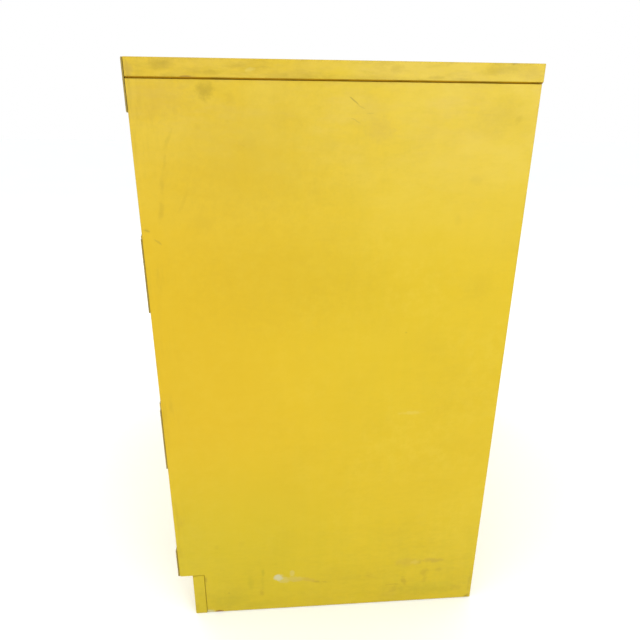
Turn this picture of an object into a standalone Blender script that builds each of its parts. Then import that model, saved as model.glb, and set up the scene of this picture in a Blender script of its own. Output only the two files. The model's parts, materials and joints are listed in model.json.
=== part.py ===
"""Wooden under-counter cabinet for flammable liquids, with two doors, a shelf and a spill pan.

Metres, +Z up, front towards -Y. The origin is under the middle of the whole cabinet, at floor level.
Each moving group hangs on an empty that stands on its joint's axis.
"""

import math

import bmesh
import bpy
from mathutils import Vector

# Carcass
HEIGHT = 0.9144
WIDTH = 0.889
SIDE_DEPTH = 0.5334
TOP_DEPTH = 0.535
BOARD = 0.024
FIT = 0.0003
EDGE = 0.0008
REVEAL_HEIGHT = 0.0019
REVEAL_DEPTH = 0.002
SIDE_LIFT = 0.001
TOE_HEIGHT = 0.0889
TOE_RECESS = 0.0222
TOE_BOARD = 0.0202
NOTCH_ROUND = 0.003
POST_WIDTH = 0.056

# Doors and hinges
DOOR_GAP = 0.003
DOOR_EDGE = 0.0015
PLATE = 0.0019
KNUCKLE_RADIUS = 0.00375
KNUCKLE_BORE = 0.002
PIN_RADIUS = 0.00175
PIN_HEAD_RADIUS = 0.0033
PIN_HEAD = 0.002
LEAF_WIDTH = 0.0248
LEAF_HEIGHT = 0.107
LEAF_KNUCKLES = 5
KNUCKLE_ROOM = 0.0005
LEAF_SCREW_OUT = 0.0155
LEAF_SCREW_SPREAD = 0.0428
UPPER_HINGE_Z = 0.6362
LOWER_HINGE_Z = 0.3694

# Corner braces
UPPER_BRACE_LEG = 0.0637
LOWER_BRACE_LEG = 0.0587
BRACE_ROUND = 0.003
BRACE_SCREWS = (0.008, 0.025)
SCREW_HOLE = 0.0025

# Latch on the right door, and bolts on the left door
LATCH_INSET = 0.080
LATCH_Z = 0.500
LATCH_TRAVEL = 0.012
ROD_RADIUS = 0.004
ROD_DEPTH = 0.0088
ROD_END_GAP = 0.0159
ROD_GRIP = 0.0035
CAM_RADIUS = 0.030
CAM_PLATE = 0.003
CAM_GAP = 0.0008
CAM_START = 0.012
FOLLOWER_RADIUS = 0.0025
FOLLOWER_GAP = 0.0012
SLOT_HALF_WIDTH = 0.0029
SHAFT_SIDE = 0.008
SHAFT_ROOT = 0.005
SHAFT_PROUD = 0.0004
SHAFT_BORE = 0.007
ROSE_RADIUS = 0.025
ROSE_HEIGHT = 0.004
ROSE_EDGE = 0.0015
HUB_RADIUS = 0.014
HUB_FRONT = 0.050
LEVER_LENGTH = 0.105
LEVER_THICKNESS = 0.012
LEVER_ROOT = 0.015
LEVER_TIP = 0.008
LEVER_EDGE = 0.0025
PLUG_RADIUS = 0.0065
PLUG_BORE = 0.0068
PLUG_DEPTH = 0.012
PLUG_PROUD = 0.001
KEYWAY_WIDTH = 0.0014
KEYWAY_HEIGHT = 0.007
KEYWAY_DEPTH = 0.008
STRAP_EAR = 0.017
STRAP_SHEET = 0.002
STRAP_GAP = 0.0005
GUIDE_HEIGHT = 0.014
GUIDE_INSET = 0.075
BOLT_INSET = 0.060
BOLT_LENGTH = 0.120
KNOB_RADIUS = 0.0036
KNOB_LENGTH = 0.016
KNOB_INSET = 0.010
CASE_HEIGHT = 0.060
CASE_INSET = 0.020
KEEPER_WIDTH = 0.024
KEEPER_LENGTH = 0.030
KEEPER_LIP = 0.0134
KEEPER_PLATE = 0.002
KEEPER_SETBACK = 0.0015
PULL_SPAN = 0.128
PULL_REACH = 0.036
PULL_RADIUS = 0.005
PULL_BEND = 0.012

# Inside
SHELF_Z = 0.520
SHELF_BOARD = 0.018
SHELF_SETBACK = 0.090
SHELF_GAP = 0.006
SHELF_EDGE = 0.001
STANDARD_WIDTH = 0.016
STANDARD_PLATE = 0.0025
STANDARD_LOW = 0.270
SLOT_PITCH = 0.032
SLOTS = 14
SLOT_WIDTH = 0.009
SLOT_HEIGHT = 0.005
STANDARD_FRONT = 0.140
STANDARD_BACK = 0.440
CLIP_TAB = 0.014
CLIP_PLATE = 0.0018
PAN_SETBACK = 0.075
PAN_HEIGHT = 0.0508
PAN_SHEET = 0.0015
PAN_GAP = 0.004

# Back
VENT_X = 0.300
UPPER_VENT_Z = 0.780
LOWER_VENT_Z = 0.240
VENT_HOLE = 0.0270
COLLAR_RADIUS = 0.0265
COLLAR_BORE = 0.0230
FLANGE_RADIUS = 0.038
FLANGE = 0.003
SCREEN_RADIUS = 0.0226
SCREEN_PLATE = 0.002
SCREEN_SETBACK = 0.010
SCREEN_HOLE = 0.0045
SCREEN_RING = 0.0135
CAP_RADIUS = 0.032
CAP_PLATE = 0.004
CAP_EDGE = 0.001
CAP_SPIGOT_RADIUS = 0.0222
CAP_SPIGOT = 0.005
CAP_LUG = 0.0045
CAP_LUG_LENGTH = 0.040
CAP_LUG_WIDTH = 0.008
STUD_X = -0.360
STUD_Z = 0.200
STUD_RADIUS = 0.003
STUD_LENGTH = 0.034
STUD_HEAD_RADIUS = 0.006
STUD_HEAD = 0.004
STUD_HOLE = 0.0034
NUT_RADIUS = 0.0058
NUT_HEIGHT = 0.005

# Planes that follow from the sizes above. The lock's plug is the foremost point of the whole
# cabinet and a vent cap's lug is the rearmost, and the origin lies midway between the two.
FRONT_REACH = HUB_FRONT + PLUG_PROUD
BACK_REACH = FIT + FLANGE + FIT + CAP_PLATE + CAP_LUG
FRONT_Y = (FRONT_REACH - SIDE_DEPTH - BACK_REACH) / 2
BACK_Y = FRONT_Y + SIDE_DEPTH
BACK_INSIDE_Y = BACK_Y - BOARD
DOOR_INSIDE_Y = FRONT_Y + BOARD
HALF = WIDTH / 2
INSIDE_X = HALF - BOARD
CARCASS_TOP = HEIGHT - BOARD
DECK_Z = TOE_HEIGHT + BOARD
AXIS_X = INSIDE_X - DOOR_GAP / 2
AXIS_Y = FRONT_Y - FIT - KNUCKLE_RADIUS
DOOR_WIDTH = INSIDE_X - 1.5 * DOOR_GAP
DOOR_LOW = DECK_Z + DOOR_GAP
DOOR_HIGH = CARCASS_TOP - DOOR_GAP
LATCH_X = DOOR_GAP / 2 + LATCH_INSET
BOLT_X = -DOOR_GAP / 2 - BOLT_INSET
ROD_Y = DOOR_INSIDE_Y + ROD_DEPTH
HUB_BACK_Y = FRONT_Y - 2 * FIT - ROSE_HEIGHT
HUB_FRONT_Y = FRONT_Y - HUB_FRONT

# Turns that stand a flat outline up: its first axis runs along X or Y and its second along Z.
FACING_FRONT = (math.pi / 2, 0, 0)
FACING_SIDE = (math.pi / 2, 0, math.pi / 2)
FACING_BACK = (-math.pi / 2, 0, 0)
LYING = (0, 0, 0)

SIDES = {"right": 1, "left": -1}


# ---------------------------------------------------------------- scene and materials


def clear_scene():
    for obj in list(bpy.data.objects):
        bpy.data.objects.remove(obj, do_unlink=True)


def collection(name):
    made = bpy.data.collections.new(name)
    bpy.context.scene.collection.children.link(made)
    return made


def painted(name, colour, roughness, metallic=0.0):
    material = bpy.data.materials.new(name)
    material.use_nodes = True
    shader = material.node_tree.nodes["Principled BSDF"]
    shader.inputs["Base Color"].default_value = (*colour, 1)
    shader.inputs["Roughness"].default_value = roughness
    shader.inputs["Metallic"].default_value = metallic
    material.diffuse_color = (*colour, 1)
    return material


clear_scene()
PARTS = collection("flammable_storage_cabinet")
CUTTERS = collection("cutters")
YELLOW = painted("yellow_enamel", (0.76, 0.53, 0.03), 0.38)
HINGE_PAINT = painted("painted_hinge", (0.55, 0.42, 0.08), 0.45, 0.2)
STEEL = painted("zinc_steel", (0.55, 0.56, 0.58), 0.35, 1.0)
CHROME = painted("chrome", (0.80, 0.80, 0.82), 0.15, 1.0)
BRASS = painted("brass", (0.78, 0.57, 0.25), 0.30, 1.0)
PAN_PAINT = painted("galvanised_pan", (0.50, 0.52, 0.53), 0.45, 0.9)


# ---------------------------------------------------------------- tools


def world_place(obj):
    """Where an unturned empty stands, from its own offset and its parents'."""
    return Vector() if obj is None else obj.location + world_place(obj.parent)


def add(name, mesh, material, at, turn=LYING, axle=None):
    """Stands a mesh in the cabinet at a world place, carried by a joint's empty if one is given."""
    obj = bpy.data.objects.new(name, mesh)
    PARTS.objects.link(obj)
    if not mesh.materials:
        mesh.materials.append(material)
    obj.parent = axle
    obj.location = Vector(at) - world_place(axle)
    obj.rotation_euler = turn
    return obj


def axle_at(name, at, carrier=None):
    """An empty on a joint's axis."""
    empty = bpy.data.objects.new(name, None)
    PARTS.objects.link(empty)
    empty.empty_display_size = 0.03
    empty.parent = carrier
    empty.location = Vector(at) - world_place(carrier)
    return empty


def helper(name, mesh, at, turn=LYING, axle=None):
    """A cutter, or a shape that is joined into another. It isn't a piece of the cabinet."""
    obj = bpy.data.objects.new(name, mesh)
    CUTTERS.objects.link(obj)
    obj.hide_render = True
    obj.display_type = "WIRE"
    obj.parent = axle
    obj.location = Vector(at) - world_place(axle)
    obj.rotation_euler = turn
    return obj


def combine(obj, other, operation):
    modifier = obj.modifiers.new(other.name, "BOOLEAN")
    modifier.operation = operation
    modifier.solver = "EXACT"
    modifier.object = other


def soften(obj, width=EDGE, segments=1):
    """Rounds the sharp edges."""
    modifier = obj.modifiers.new("edges", "BEVEL")
    modifier.width = width
    modifier.segments = segments
    modifier.limit_method = "ANGLE"
    modifier.angle_limit = math.radians(50)


def box_mesh(size):
    mesh = bpy.data.meshes.new("box")
    shape = bmesh.new()
    bmesh.ops.create_cube(shape, size=1)
    bmesh.ops.scale(shape, vec=size, verts=shape.verts)
    shape.to_mesh(mesh)
    shape.free()
    return mesh


def block(name, low, high, material, axle=None):
    """A box between two world corners."""
    low, high = Vector(low), Vector(high)
    return add(name, box_mesh(high - low), material, (low + high) / 2, axle=axle)


def block_helper(name, low, high, axle=None):
    low, high = Vector(low), Vector(high)
    return helper(name, box_mesh(high - low), (low + high) / 2, axle=axle)


def rod_mesh(radius, length, sides=24):
    """A cylinder along Z, centred."""
    mesh = bpy.data.meshes.new("rod")
    shape = bmesh.new()
    bmesh.ops.create_cone(
        shape, cap_ends=True, segments=sides, radius1=radius, radius2=radius, depth=length
    )
    shape.to_mesh(mesh)
    shape.free()
    mesh.shade_smooth()
    mesh.set_sharp_from_angle(angle=math.radians(40))
    return mesh


def arc(centre, radius, start, end, steps):
    """Points on an arc, with both angles in degrees."""
    angles = [math.radians(start + (end - start) * i / steps) for i in range(steps + 1)]
    return [
        (centre[0] + radius * math.cos(a), centre[1] + radius * math.sin(a)) for a in angles
    ]


def circle(centre, radius, sides=12):
    return arc(centre, radius, 0, 360, sides)[:-1]


def rectangle(centre, width, height):
    x, y = centre
    return [
        (x - width / 2, y - height / 2),
        (x + width / 2, y - height / 2),
        (x + width / 2, y + height / 2),
        (x - width / 2, y + height / 2),
    ]


def flat_mesh(outlines, thickness):
    """A plate in the XY plane, centred on it. The outlines after the first are its holes."""
    curve = bpy.data.curves.new("outline", "CURVE")
    curve.dimensions = "2D"
    curve.fill_mode = "BOTH"
    curve.extrude = thickness / 2
    for points in outlines:
        spline = curve.splines.new("POLY")
        spline.points.add(len(points) - 1)
        for place, (x, y) in zip(spline.points, points):
            place.co = (x, y, 0, 1)
        spline.use_cyclic_u = True
    drawn = bpy.data.objects.new("outline", curve)
    return solid_from(drawn)


def solid_from(drawn):
    """Turns a curve object into one welded mesh, and removes the curve."""
    CUTTERS.objects.link(drawn)
    graph = bpy.context.evaluated_depsgraph_get()
    mesh = bpy.data.meshes.new_from_object(drawn.evaluated_get(graph))
    shape = bmesh.new()
    shape.from_mesh(mesh)
    bmesh.ops.remove_doubles(shape, verts=shape.verts, dist=1e-6)
    bmesh.ops.dissolve_limit(
        shape, angle_limit=math.radians(0.5), verts=shape.verts, edges=shape.edges
    )
    bmesh.ops.recalc_face_normals(shape, faces=shape.faces)
    shape.to_mesh(mesh)
    shape.free()
    mesh.materials.clear()
    mesh.shade_smooth()
    mesh.set_sharp_from_angle(angle=math.radians(40))
    bpy.data.objects.remove(drawn, do_unlink=True)
    return mesh


def turned_mesh(profile, closed):
    """The profile of a turned shape, as (radius, height) points down its outer side."""
    mesh = bpy.data.meshes.new("profile")
    edges = [(i, i + 1) for i in range(len(profile) - 1)]
    if closed:
        edges.append((len(profile) - 1, 0))
    mesh.from_pydata([(r, 0, z) for r, z in profile], edges, [])
    return mesh


def lathe(obj, steps=24):
    """Turns the object's profile about its own Z axis."""
    modifier = obj.modifiers.new("lathe", "SCREW")
    modifier.axis = "Z"
    modifier.steps = steps
    modifier.render_steps = steps
    modifier.use_merge_vertices = True
    modifier.merge_threshold = 1e-5
    modifier.use_smooth_shade = True


def tube_mesh(points, radius, resolution):
    """A round bar along a smooth route, with closed ends."""
    curve = bpy.data.curves.new("route", "CURVE")
    curve.dimensions = "3D"
    curve.bevel_depth = radius
    curve.bevel_resolution = resolution
    curve.use_fill_caps = True
    spline = curve.splines.new("POLY")
    spline.points.add(len(points) - 1)
    for place, point in zip(spline.points, points):
        place.co = (*point, 1)
    return solid_from(bpy.data.objects.new("route", curve))


# ---------------------------------------------------------------- carcass


def side_panels():
    """Notched at the lower front for the toe space, where the toe board's end shows."""
    back_of_toe = TOE_RECESS + TOE_BOARD + FIT
    high = CARCASS_TOP - FIT
    outline = [
        *arc((NOTCH_ROUND, TOE_HEIGHT + NOTCH_ROUND), NOTCH_ROUND, 180, 270, 3),
        (back_of_toe, TOE_HEIGHT),
        (back_of_toe, SIDE_LIFT),
        (SIDE_DEPTH, SIDE_LIFT),
        (SIDE_DEPTH, high),
        (0, high),
    ]
    mesh = flat_mesh([outline], BOARD)
    for side, sign in SIDES.items():
        panel = add(
            f"{side}_side_panel",
            mesh,
            YELLOW,
            (sign * (HALF - BOARD / 2), FRONT_Y, 0),
            FACING_SIDE,
        )
        soften(panel)


def top_panel():
    """A board whose lower side edges are cut back, which leaves a dark reveal above the side panels."""
    inner = HALF - REVEAL_DEPTH
    step = REVEAL_HEIGHT - BOARD
    outline = [(-HALF, 0), (-HALF, step), (-inner, step), (-inner, -BOARD)]
    outline += [(-x, z) for x, z in reversed(outline)]
    mesh = flat_mesh([outline], TOP_DEPTH)
    panel = add(
        "top_panel", mesh, YELLOW, (0, FRONT_Y + TOP_DEPTH / 2, HEIGHT), FACING_FRONT
    )
    soften(panel)


def inner_boards():
    width = INSIDE_X - FIT
    deck = block(
        "bottom_panel",
        (-width, FRONT_Y, TOE_HEIGHT),
        (width, BACK_INSIDE_Y - FIT, DECK_Z),
        YELLOW,
    )
    toe = block(
        "toe_board",
        (-HALF, FRONT_Y + TOE_RECESS, 0),
        (HALF, FRONT_Y + TOE_RECESS + TOE_BOARD, TOE_HEIGHT - FIT),
        YELLOW,
    )
    post = block(
        "centre_post",
        (-POST_WIDTH / 2, DOOR_INSIDE_Y + FIT, DECK_Z + FIT),
        (POST_WIDTH / 2, DOOR_INSIDE_Y + FIT + BOARD, CARCASS_TOP - FIT),
        YELLOW,
    )
    for board in (deck, toe, post):
        soften(board)


def back_panel():
    width = INSIDE_X - FIT
    height = CARCASS_TOP - FIT
    holes = [
        circle((-VENT_X, UPPER_VENT_Z), VENT_HOLE, 24),
        circle((VENT_X, LOWER_VENT_Z), VENT_HOLE, 24),
        circle((STUD_X, STUD_Z), STUD_HOLE, 12),
    ]
    outline = rectangle((0, height / 2), 2 * width, height)
    mesh = flat_mesh([outline, *holes], BOARD)
    add("back_panel", mesh, YELLOW, (0, BACK_Y - BOARD / 2, 0), FACING_FRONT)


def brace_outline(leg):
    """An L with rounded ends, its corner at the origin and its legs running inwards and down."""
    r = BRACE_ROUND
    width = BOARD - EDGE
    return [
        *arc((-r, -r), r, 0, 90, 3),
        *arc((-leg + r, -r), r, 90, 180, 3),
        *arc((-leg + r, -width + r), r, 180, 270, 3),
        (-width, -width),
        *arc((-width + r, -leg + r), r, 180, 270, 3),
        *arc((-r, -leg + r), r, 270, 360, 3),
    ]


def corner_braces():
    """Flat steel angles screwed over the carcass's front corners."""
    levels = {"upper": (UPPER_BRACE_LEG, HEIGHT, 1), "lower": (LOWER_BRACE_LEG, TOE_HEIGHT, -1)}
    y = FRONT_Y - FIT - PLATE / 2
    for level, (leg, z, upright) in levels.items():
        middle = (BOARD - EDGE) / 2
        spots = [(inset - leg, -middle) for inset in BRACE_SCREWS]
        spots += [(down, across) for across, down in spots]
        for side, sign in SIDES.items():
            outlines = [brace_outline(leg), *(circle(spot, SCREW_HOLE, 8) for spot in spots)]
            placed = [[(sign * u, upright * v) for u, v in points] for points in outlines]
            mesh = flat_mesh(placed, PLATE)
            add(
                f"{level}_{side}_corner_brace",
                mesh,
                HINGE_PAINT,
                (sign * HALF, y, z),
                FACING_FRONT,
            )


# ---------------------------------------------------------------- hinges


def leaf_outline(way):
    """Seen from above: a knuckle round the pin, and a plate that runs off along its back."""
    front = KNUCKLE_RADIUS - PLATE
    meets = 360 + math.degrees(math.asin(front / KNUCKLE_RADIUS))
    points = [
        *arc((0, 0), KNUCKLE_RADIUS, 90, meets, 15),
        (LEAF_WIDTH, front),
        (LEAF_WIDTH, KNUCKLE_RADIUS),
    ]
    return [(way * x, y) for x, y in points]


def hinge_leaf(name, way, kept, at, axle=None):
    """A leaf that keeps the knuckles numbered in kept, and makes room for its partner's."""
    mesh = flat_mesh([leaf_outline(way), circle((0, 0), KNUCKLE_BORE, 10)], LEAF_HEIGHT)
    leaf = add(name, mesh, HINGE_PAINT, at, axle=axle)
    pitch = LEAF_HEIGHT / LEAF_KNUCKLES
    reach = KNUCKLE_RADIUS + KNUCKLE_ROOM
    x, y, z = at
    for i in range(LEAF_KNUCKLES):
        if i in kept:
            continue
        low = z - LEAF_HEIGHT / 2 + i * pitch - FIT / 2
        high = low + pitch + FIT
        if i == 0:
            low -= KNUCKLE_ROOM
        if i == LEAF_KNUCKLES - 1:
            high += KNUCKLE_ROOM
        room = block_helper(
            f"{name}_room_{i}", (x - reach, y - reach, low), (x + reach, y + reach, high), axle
        )
        combine(leaf, room, "DIFFERENCE")
    for i in (-1, 0, 1):
        hole = helper(
            f"{name}_hole_{i + 2}",
            rod_mesh(SCREW_HOLE, 2 * KNUCKLE_RADIUS + FIT, 8),
            (x + way * LEAF_SCREW_OUT, y, z + i * LEAF_SCREW_SPREAD),
            FACING_FRONT,
            axle,
        )
        combine(leaf, hole, "DIFFERENCE")


def hinge_pin(name, at):
    """A straight pin with a flat head at each end."""
    top = LEAF_HEIGHT / 2 + FIT
    profile = [(0, top + PIN_HEAD), (PIN_HEAD_RADIUS, top + PIN_HEAD), (PIN_HEAD_RADIUS, top)]
    profile += [(PIN_RADIUS, top)]
    profile += [(r, -z) for r, z in reversed(profile)]
    lathe(add(name, turned_mesh(profile, False), STEEL, at), 12)


def hinges(side, axle):
    """Two full-surface hinges: one leaf on the side panel's front edge, the other on the door's face."""
    sign = SIDES[side]
    for level, z in (("upper", UPPER_HINGE_Z), ("lower", LOWER_HINGE_Z)):
        at = (sign * AXIS_X, AXIS_Y, z)
        hinge_leaf(f"{level}_{side}_frame_leaf", sign, (0, 2, 4), at)
        hinge_leaf(f"{level}_{side}_door_leaf", -sign, (1, 3), at, axle)
        hinge_pin(f"{level}_{side}_hinge_pin", at)


# ---------------------------------------------------------------- doors


def door(side, axle, holes):
    """A board that fills its half of the opening, flush with the carcass's front."""
    sign = SIDES[side]
    height = DOOR_HIGH - DOOR_LOW
    middle = sign * (DOOR_GAP + DOOR_WIDTH) / 2
    outline = rectangle((0, 0), DOOR_WIDTH, height)
    mesh = flat_mesh([outline, *holes], BOARD)
    at = (middle, FRONT_Y + BOARD / 2, DOOR_LOW + height / 2)
    soften(add(f"{side}_door", mesh, YELLOW, at, FACING_FRONT, axle), DOOR_EDGE)


def strap_mesh(height):
    """A saddle strap round a rod, seen from above with the door's inner face at 0."""
    inner = ROD_RADIUS + STRAP_GAP
    outer = inner + STRAP_SHEET
    centre = (0, ROD_DEPTH - FIT)
    outline = [
        (-STRAP_EAR, 0),
        (-inner, 0),
        *arc(centre, inner, 180, 0, 8),
        (inner, 0),
        (STRAP_EAR, 0),
        (STRAP_EAR, STRAP_SHEET),
        (outer, STRAP_SHEET),
        *arc(centre, outer, 0, 180, 8),
        (-outer, STRAP_SHEET),
        (-STRAP_EAR, STRAP_SHEET),
    ]
    return flat_mesh([outline], height)


def spiral_slot(start_angle):
    """A slot whose middle line moves outwards evenly, by the rods' travel over a quarter turn."""
    steps = 8
    turn = math.pi / 2
    lines = {-1: [], 1: []}
    for i in range(steps + 1):
        share = i / steps
        radius = CAM_START + LATCH_TRAVEL * share
        angle = start_angle + turn * share
        x, y = radius * math.cos(angle), radius * math.sin(angle)
        slope = angle + math.atan2(radius, LATCH_TRAVEL / turn)
        for way, line in lines.items():
            across = slope - way * math.pi / 2
            line.append(
                (x + SLOT_HALF_WIDTH * math.cos(across), y + SLOT_HALF_WIDTH * math.sin(across))
            )
        if i in (0, steps):
            facing = math.degrees(slope) + (180 if i == 0 else 0)
            end = arc((x, y), SLOT_HALF_WIDTH, facing - 90, facing + 90, 5)[1:-1]
            if i == 0:
                first_end = end
    return [*first_end, *lines[1], *end, *reversed(lines[-1])]


def latch_rod(name, way, axle):
    """A round rod whose cross pin rides in the cam's slot. It stops short of the keeper while unlatched."""
    near = LATCH_Z + way * (CAM_START - ROD_GRIP)
    far = (CARCASS_TOP - ROD_END_GAP) if way > 0 else (DECK_Z + ROD_END_GAP)
    rod = add(
        name,
        rod_mesh(ROD_RADIUS, abs(far - near), 12),
        STEEL,
        (LATCH_X, ROD_Y, (near + far) / 2),
        axle=axle,
    )
    front = DOOR_INSIDE_Y + FOLLOWER_GAP
    pin = helper(
        f"{name}_pin",
        rod_mesh(FOLLOWER_RADIUS, ROD_Y - front, 12),
        (LATCH_X, (front + ROD_Y) / 2, LATCH_Z + way * CAM_START),
        FACING_FRONT,
        axle,
    )
    combine(rod, pin, "UNION")


def lever_handle(axle):
    """A hub with a flat lever across its front, a square shaft behind it and a bore for the lock."""
    hub_length = HUB_BACK_Y - (HUB_FRONT_Y + LEVER_THICKNESS / 2)
    outline = [
        *arc((0, 0), LEVER_ROOT, 60, 300, 10),
        *arc((LEVER_LENGTH - LEVER_TIP, 0), LEVER_TIP, -85, 85, 6),
    ]
    handle = add(
        "lever_handle",
        flat_mesh([outline], LEVER_THICKNESS),
        CHROME,
        (LATCH_X, HUB_FRONT_Y + LEVER_THICKNESS / 2, LATCH_Z),
        FACING_FRONT,
        axle,
    )
    soften(handle, LEVER_EDGE, 2)
    hub = helper(
        "lever_hub",
        rod_mesh(HUB_RADIUS, hub_length, 24),
        (LATCH_X, HUB_BACK_Y - hub_length / 2, LATCH_Z),
        FACING_FRONT,
        axle,
    )
    combine(handle, hub, "UNION")
    half = SHAFT_SIDE / 2
    shaft = block_helper(
        "lever_shaft",
        (LATCH_X - half, HUB_BACK_Y - SHAFT_ROOT, LATCH_Z - half),
        (LATCH_X + half, DOOR_INSIDE_Y + CAM_GAP + CAM_PLATE + SHAFT_PROUD, LATCH_Z + half),
        axle,
    )
    combine(handle, shaft, "UNION")
    bore = helper(
        "lock_bore",
        rod_mesh(PLUG_BORE, 2 * (PLUG_DEPTH + FIT), 24),
        (LATCH_X, HUB_FRONT_Y, LATCH_Z),
        FACING_FRONT,
        axle,
    )
    combine(handle, bore, "DIFFERENCE")


def lock_plug(axle):
    """The lock's turning core, with its keyway."""
    length = PLUG_DEPTH + PLUG_PROUD
    plug = add(
        "lock_plug",
        rod_mesh(PLUG_RADIUS, length, 24),
        BRASS,
        (LATCH_X, HUB_FRONT_Y + PLUG_DEPTH - length / 2, LATCH_Z),
        FACING_FRONT,
        axle,
    )
    face = HUB_FRONT_Y - PLUG_PROUD
    keyway = block_helper(
        "keyway",
        (LATCH_X - KEYWAY_WIDTH / 2, face - KEYWAY_DEPTH, LATCH_Z - KEYWAY_HEIGHT / 2),
        (LATCH_X + KEYWAY_WIDTH / 2, face + KEYWAY_DEPTH, LATCH_Z + KEYWAY_HEIGHT / 2),
        axle,
    )
    combine(plug, keyway, "DIFFERENCE")


def scroll_cam(axle):
    """A disc with two spiral slots, which drives both rods outwards in a quarter turn."""
    outlines = [
        circle((0, 0), CAM_RADIUS, 32),
        rectangle((0, 0), SHAFT_SIDE + 2 * FIT, SHAFT_SIDE + 2 * FIT),
        spiral_slot(math.pi / 2),
        spiral_slot(-math.pi / 2),
    ]
    y = DOOR_INSIDE_Y + CAM_GAP + CAM_PLATE / 2
    mesh = flat_mesh(outlines, CAM_PLATE)
    add("scroll_cam", mesh, STEEL, (LATCH_X, y, LATCH_Z), FACING_FRONT, axle)


def right_door():
    door_axle = axle_at("right_door_axis", (AXIS_X, AXIS_Y, 0))
    hinges("right", door_axle)
    middle_x = (DOOR_GAP + DOOR_WIDTH) / 2
    middle_z = (DOOR_LOW + DOOR_HIGH) / 2
    door("right", door_axle, [circle((LATCH_X - middle_x, LATCH_Z - middle_z), SHAFT_BORE, 12)])

    ring = [(ROSE_RADIUS, 0), (SHAFT_BORE, 0), (SHAFT_BORE, ROSE_HEIGHT)]
    ring += [(ROSE_RADIUS - ROSE_EDGE, ROSE_HEIGHT), (ROSE_RADIUS, ROSE_HEIGHT - ROSE_EDGE)]
    rose_at = (LATCH_X, FRONT_Y - FIT, LATCH_Z)
    rose = add("handle_rose", turned_mesh(ring, True), CHROME, rose_at, FACING_FRONT, door_axle)
    lathe(rose, 32)

    mesh = strap_mesh(GUIDE_HEIGHT)
    for level, z in (("upper", DOOR_HIGH - GUIDE_INSET), ("lower", DOOR_LOW + GUIDE_INSET)):
        at = (LATCH_X, DOOR_INSIDE_Y + FIT, z)
        add(f"{level}_rod_guide", mesh, STEEL, at, axle=door_axle)

    handle_axle = axle_at("handle_axis", (LATCH_X, HUB_BACK_Y, LATCH_Z), door_axle)
    lever_handle(handle_axle)
    scroll_cam(handle_axle)
    lock_plug(axle_at("lock_axis", (LATCH_X, HUB_FRONT_Y, LATCH_Z), handle_axle))
    for level, way in (("upper", 1), ("lower", -1)):
        start = axle_at(f"{level}_rod_start", (LATCH_X, ROD_Y, LATCH_Z), door_axle)
        latch_rod(f"{level}_latch_rod", way, start)


def slide_bolt(level, way, door_axle):
    """A barrel bolt with its finger knob, in a long strap."""
    end = (CARCASS_TOP - ROD_END_GAP) if way > 0 else (DECK_Z + ROD_END_GAP)
    start = axle_at(f"{level}_bolt_start", (BOLT_X, ROD_Y, end), door_axle)
    bolt = add(
        f"{level}_bolt",
        rod_mesh(ROD_RADIUS, BOLT_LENGTH, 12),
        STEEL,
        (BOLT_X, ROD_Y, end - way * BOLT_LENGTH / 2),
        axle=start,
    )
    knob = helper(
        f"{level}_bolt_knob",
        rod_mesh(KNOB_RADIUS, KNOB_LENGTH, 12),
        (BOLT_X, ROD_Y + KNOB_LENGTH / 2, end - way * (BOLT_LENGTH - KNOB_INSET)),
        FACING_FRONT,
        start,
    )
    combine(bolt, knob, "UNION")
    case_z = end - way * (CASE_INSET + CASE_HEIGHT / 2)
    at = (BOLT_X, DOOR_INSIDE_Y + FIT, case_z)
    add(f"{level}_bolt_case", strap_mesh(CASE_HEIGHT), STEEL, at, axle=door_axle)


def left_door():
    door_axle = axle_at("left_door_axis", (-AXIS_X, AXIS_Y, 0))
    hinges("left", door_axle)
    door("left", door_axle, [])
    half, reach, r = PULL_SPAN / 2, PULL_REACH, PULL_BEND
    upper = arc((-reach + r, half - r), r, 90, 180, 5)
    route = [(0, half), *upper, *((y, -z) for y, z in reversed(upper)), (0, -half)]
    mesh = tube_mesh([(0, y, z) for y, z in route], PULL_RADIUS, 3)
    add("pull_handle", mesh, CHROME, (BOLT_X, FRONT_Y - FIT, LATCH_Z), axle=door_axle)
    for level, way in (("upper", 1), ("lower", -1)):
        slide_bolt(level, way, door_axle)


def keepers():
    """Angles whose lip stands between a door's back and its raised rod or bolt."""
    lip = DOOR_INSIDE_Y + KEEPER_SETBACK
    plate = KEEPER_PLATE
    outline = [
        (0, 0),
        (KEEPER_LENGTH, 0),
        (KEEPER_LENGTH, -plate),
        (plate, -plate),
        (plate, -KEEPER_LIP),
        (0, -KEEPER_LIP),
    ]
    for level, way, z in (("upper", 1, CARCASS_TOP - FIT), ("lower", -1, DECK_Z + FIT)):
        mesh = flat_mesh([[(y, way * h) for y, h in outline]], KEEPER_WIDTH)
        for side, x in (("right", LATCH_X), ("left", BOLT_X)):
            add(f"{level}_{side}_keeper", mesh, STEEL, (x, lip, z), FACING_SIDE)


# ---------------------------------------------------------------- inside


def shelf_standards():
    """Slotted strips up the inside of each side panel."""
    length = SLOT_PITCH * SLOTS
    slots = [
        rectangle((0, (i + 0.5) * SLOT_PITCH), SLOT_WIDTH, SLOT_HEIGHT) for i in range(SLOTS)
    ]
    outline = rectangle((0, length / 2), STANDARD_WIDTH, length)
    mesh = flat_mesh([outline, *slots], STANDARD_PLATE)
    for side, sign in SIDES.items():
        x = sign * (INSIDE_X - FIT - STANDARD_PLATE / 2)
        for place, depth in (("front", STANDARD_FRONT), ("back", STANDARD_BACK)):
            at = (x, FRONT_Y + depth, STANDARD_LOW)
            add(f"{place}_{side}_standard", mesh, STEEL, at, FACING_SIDE)


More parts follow.
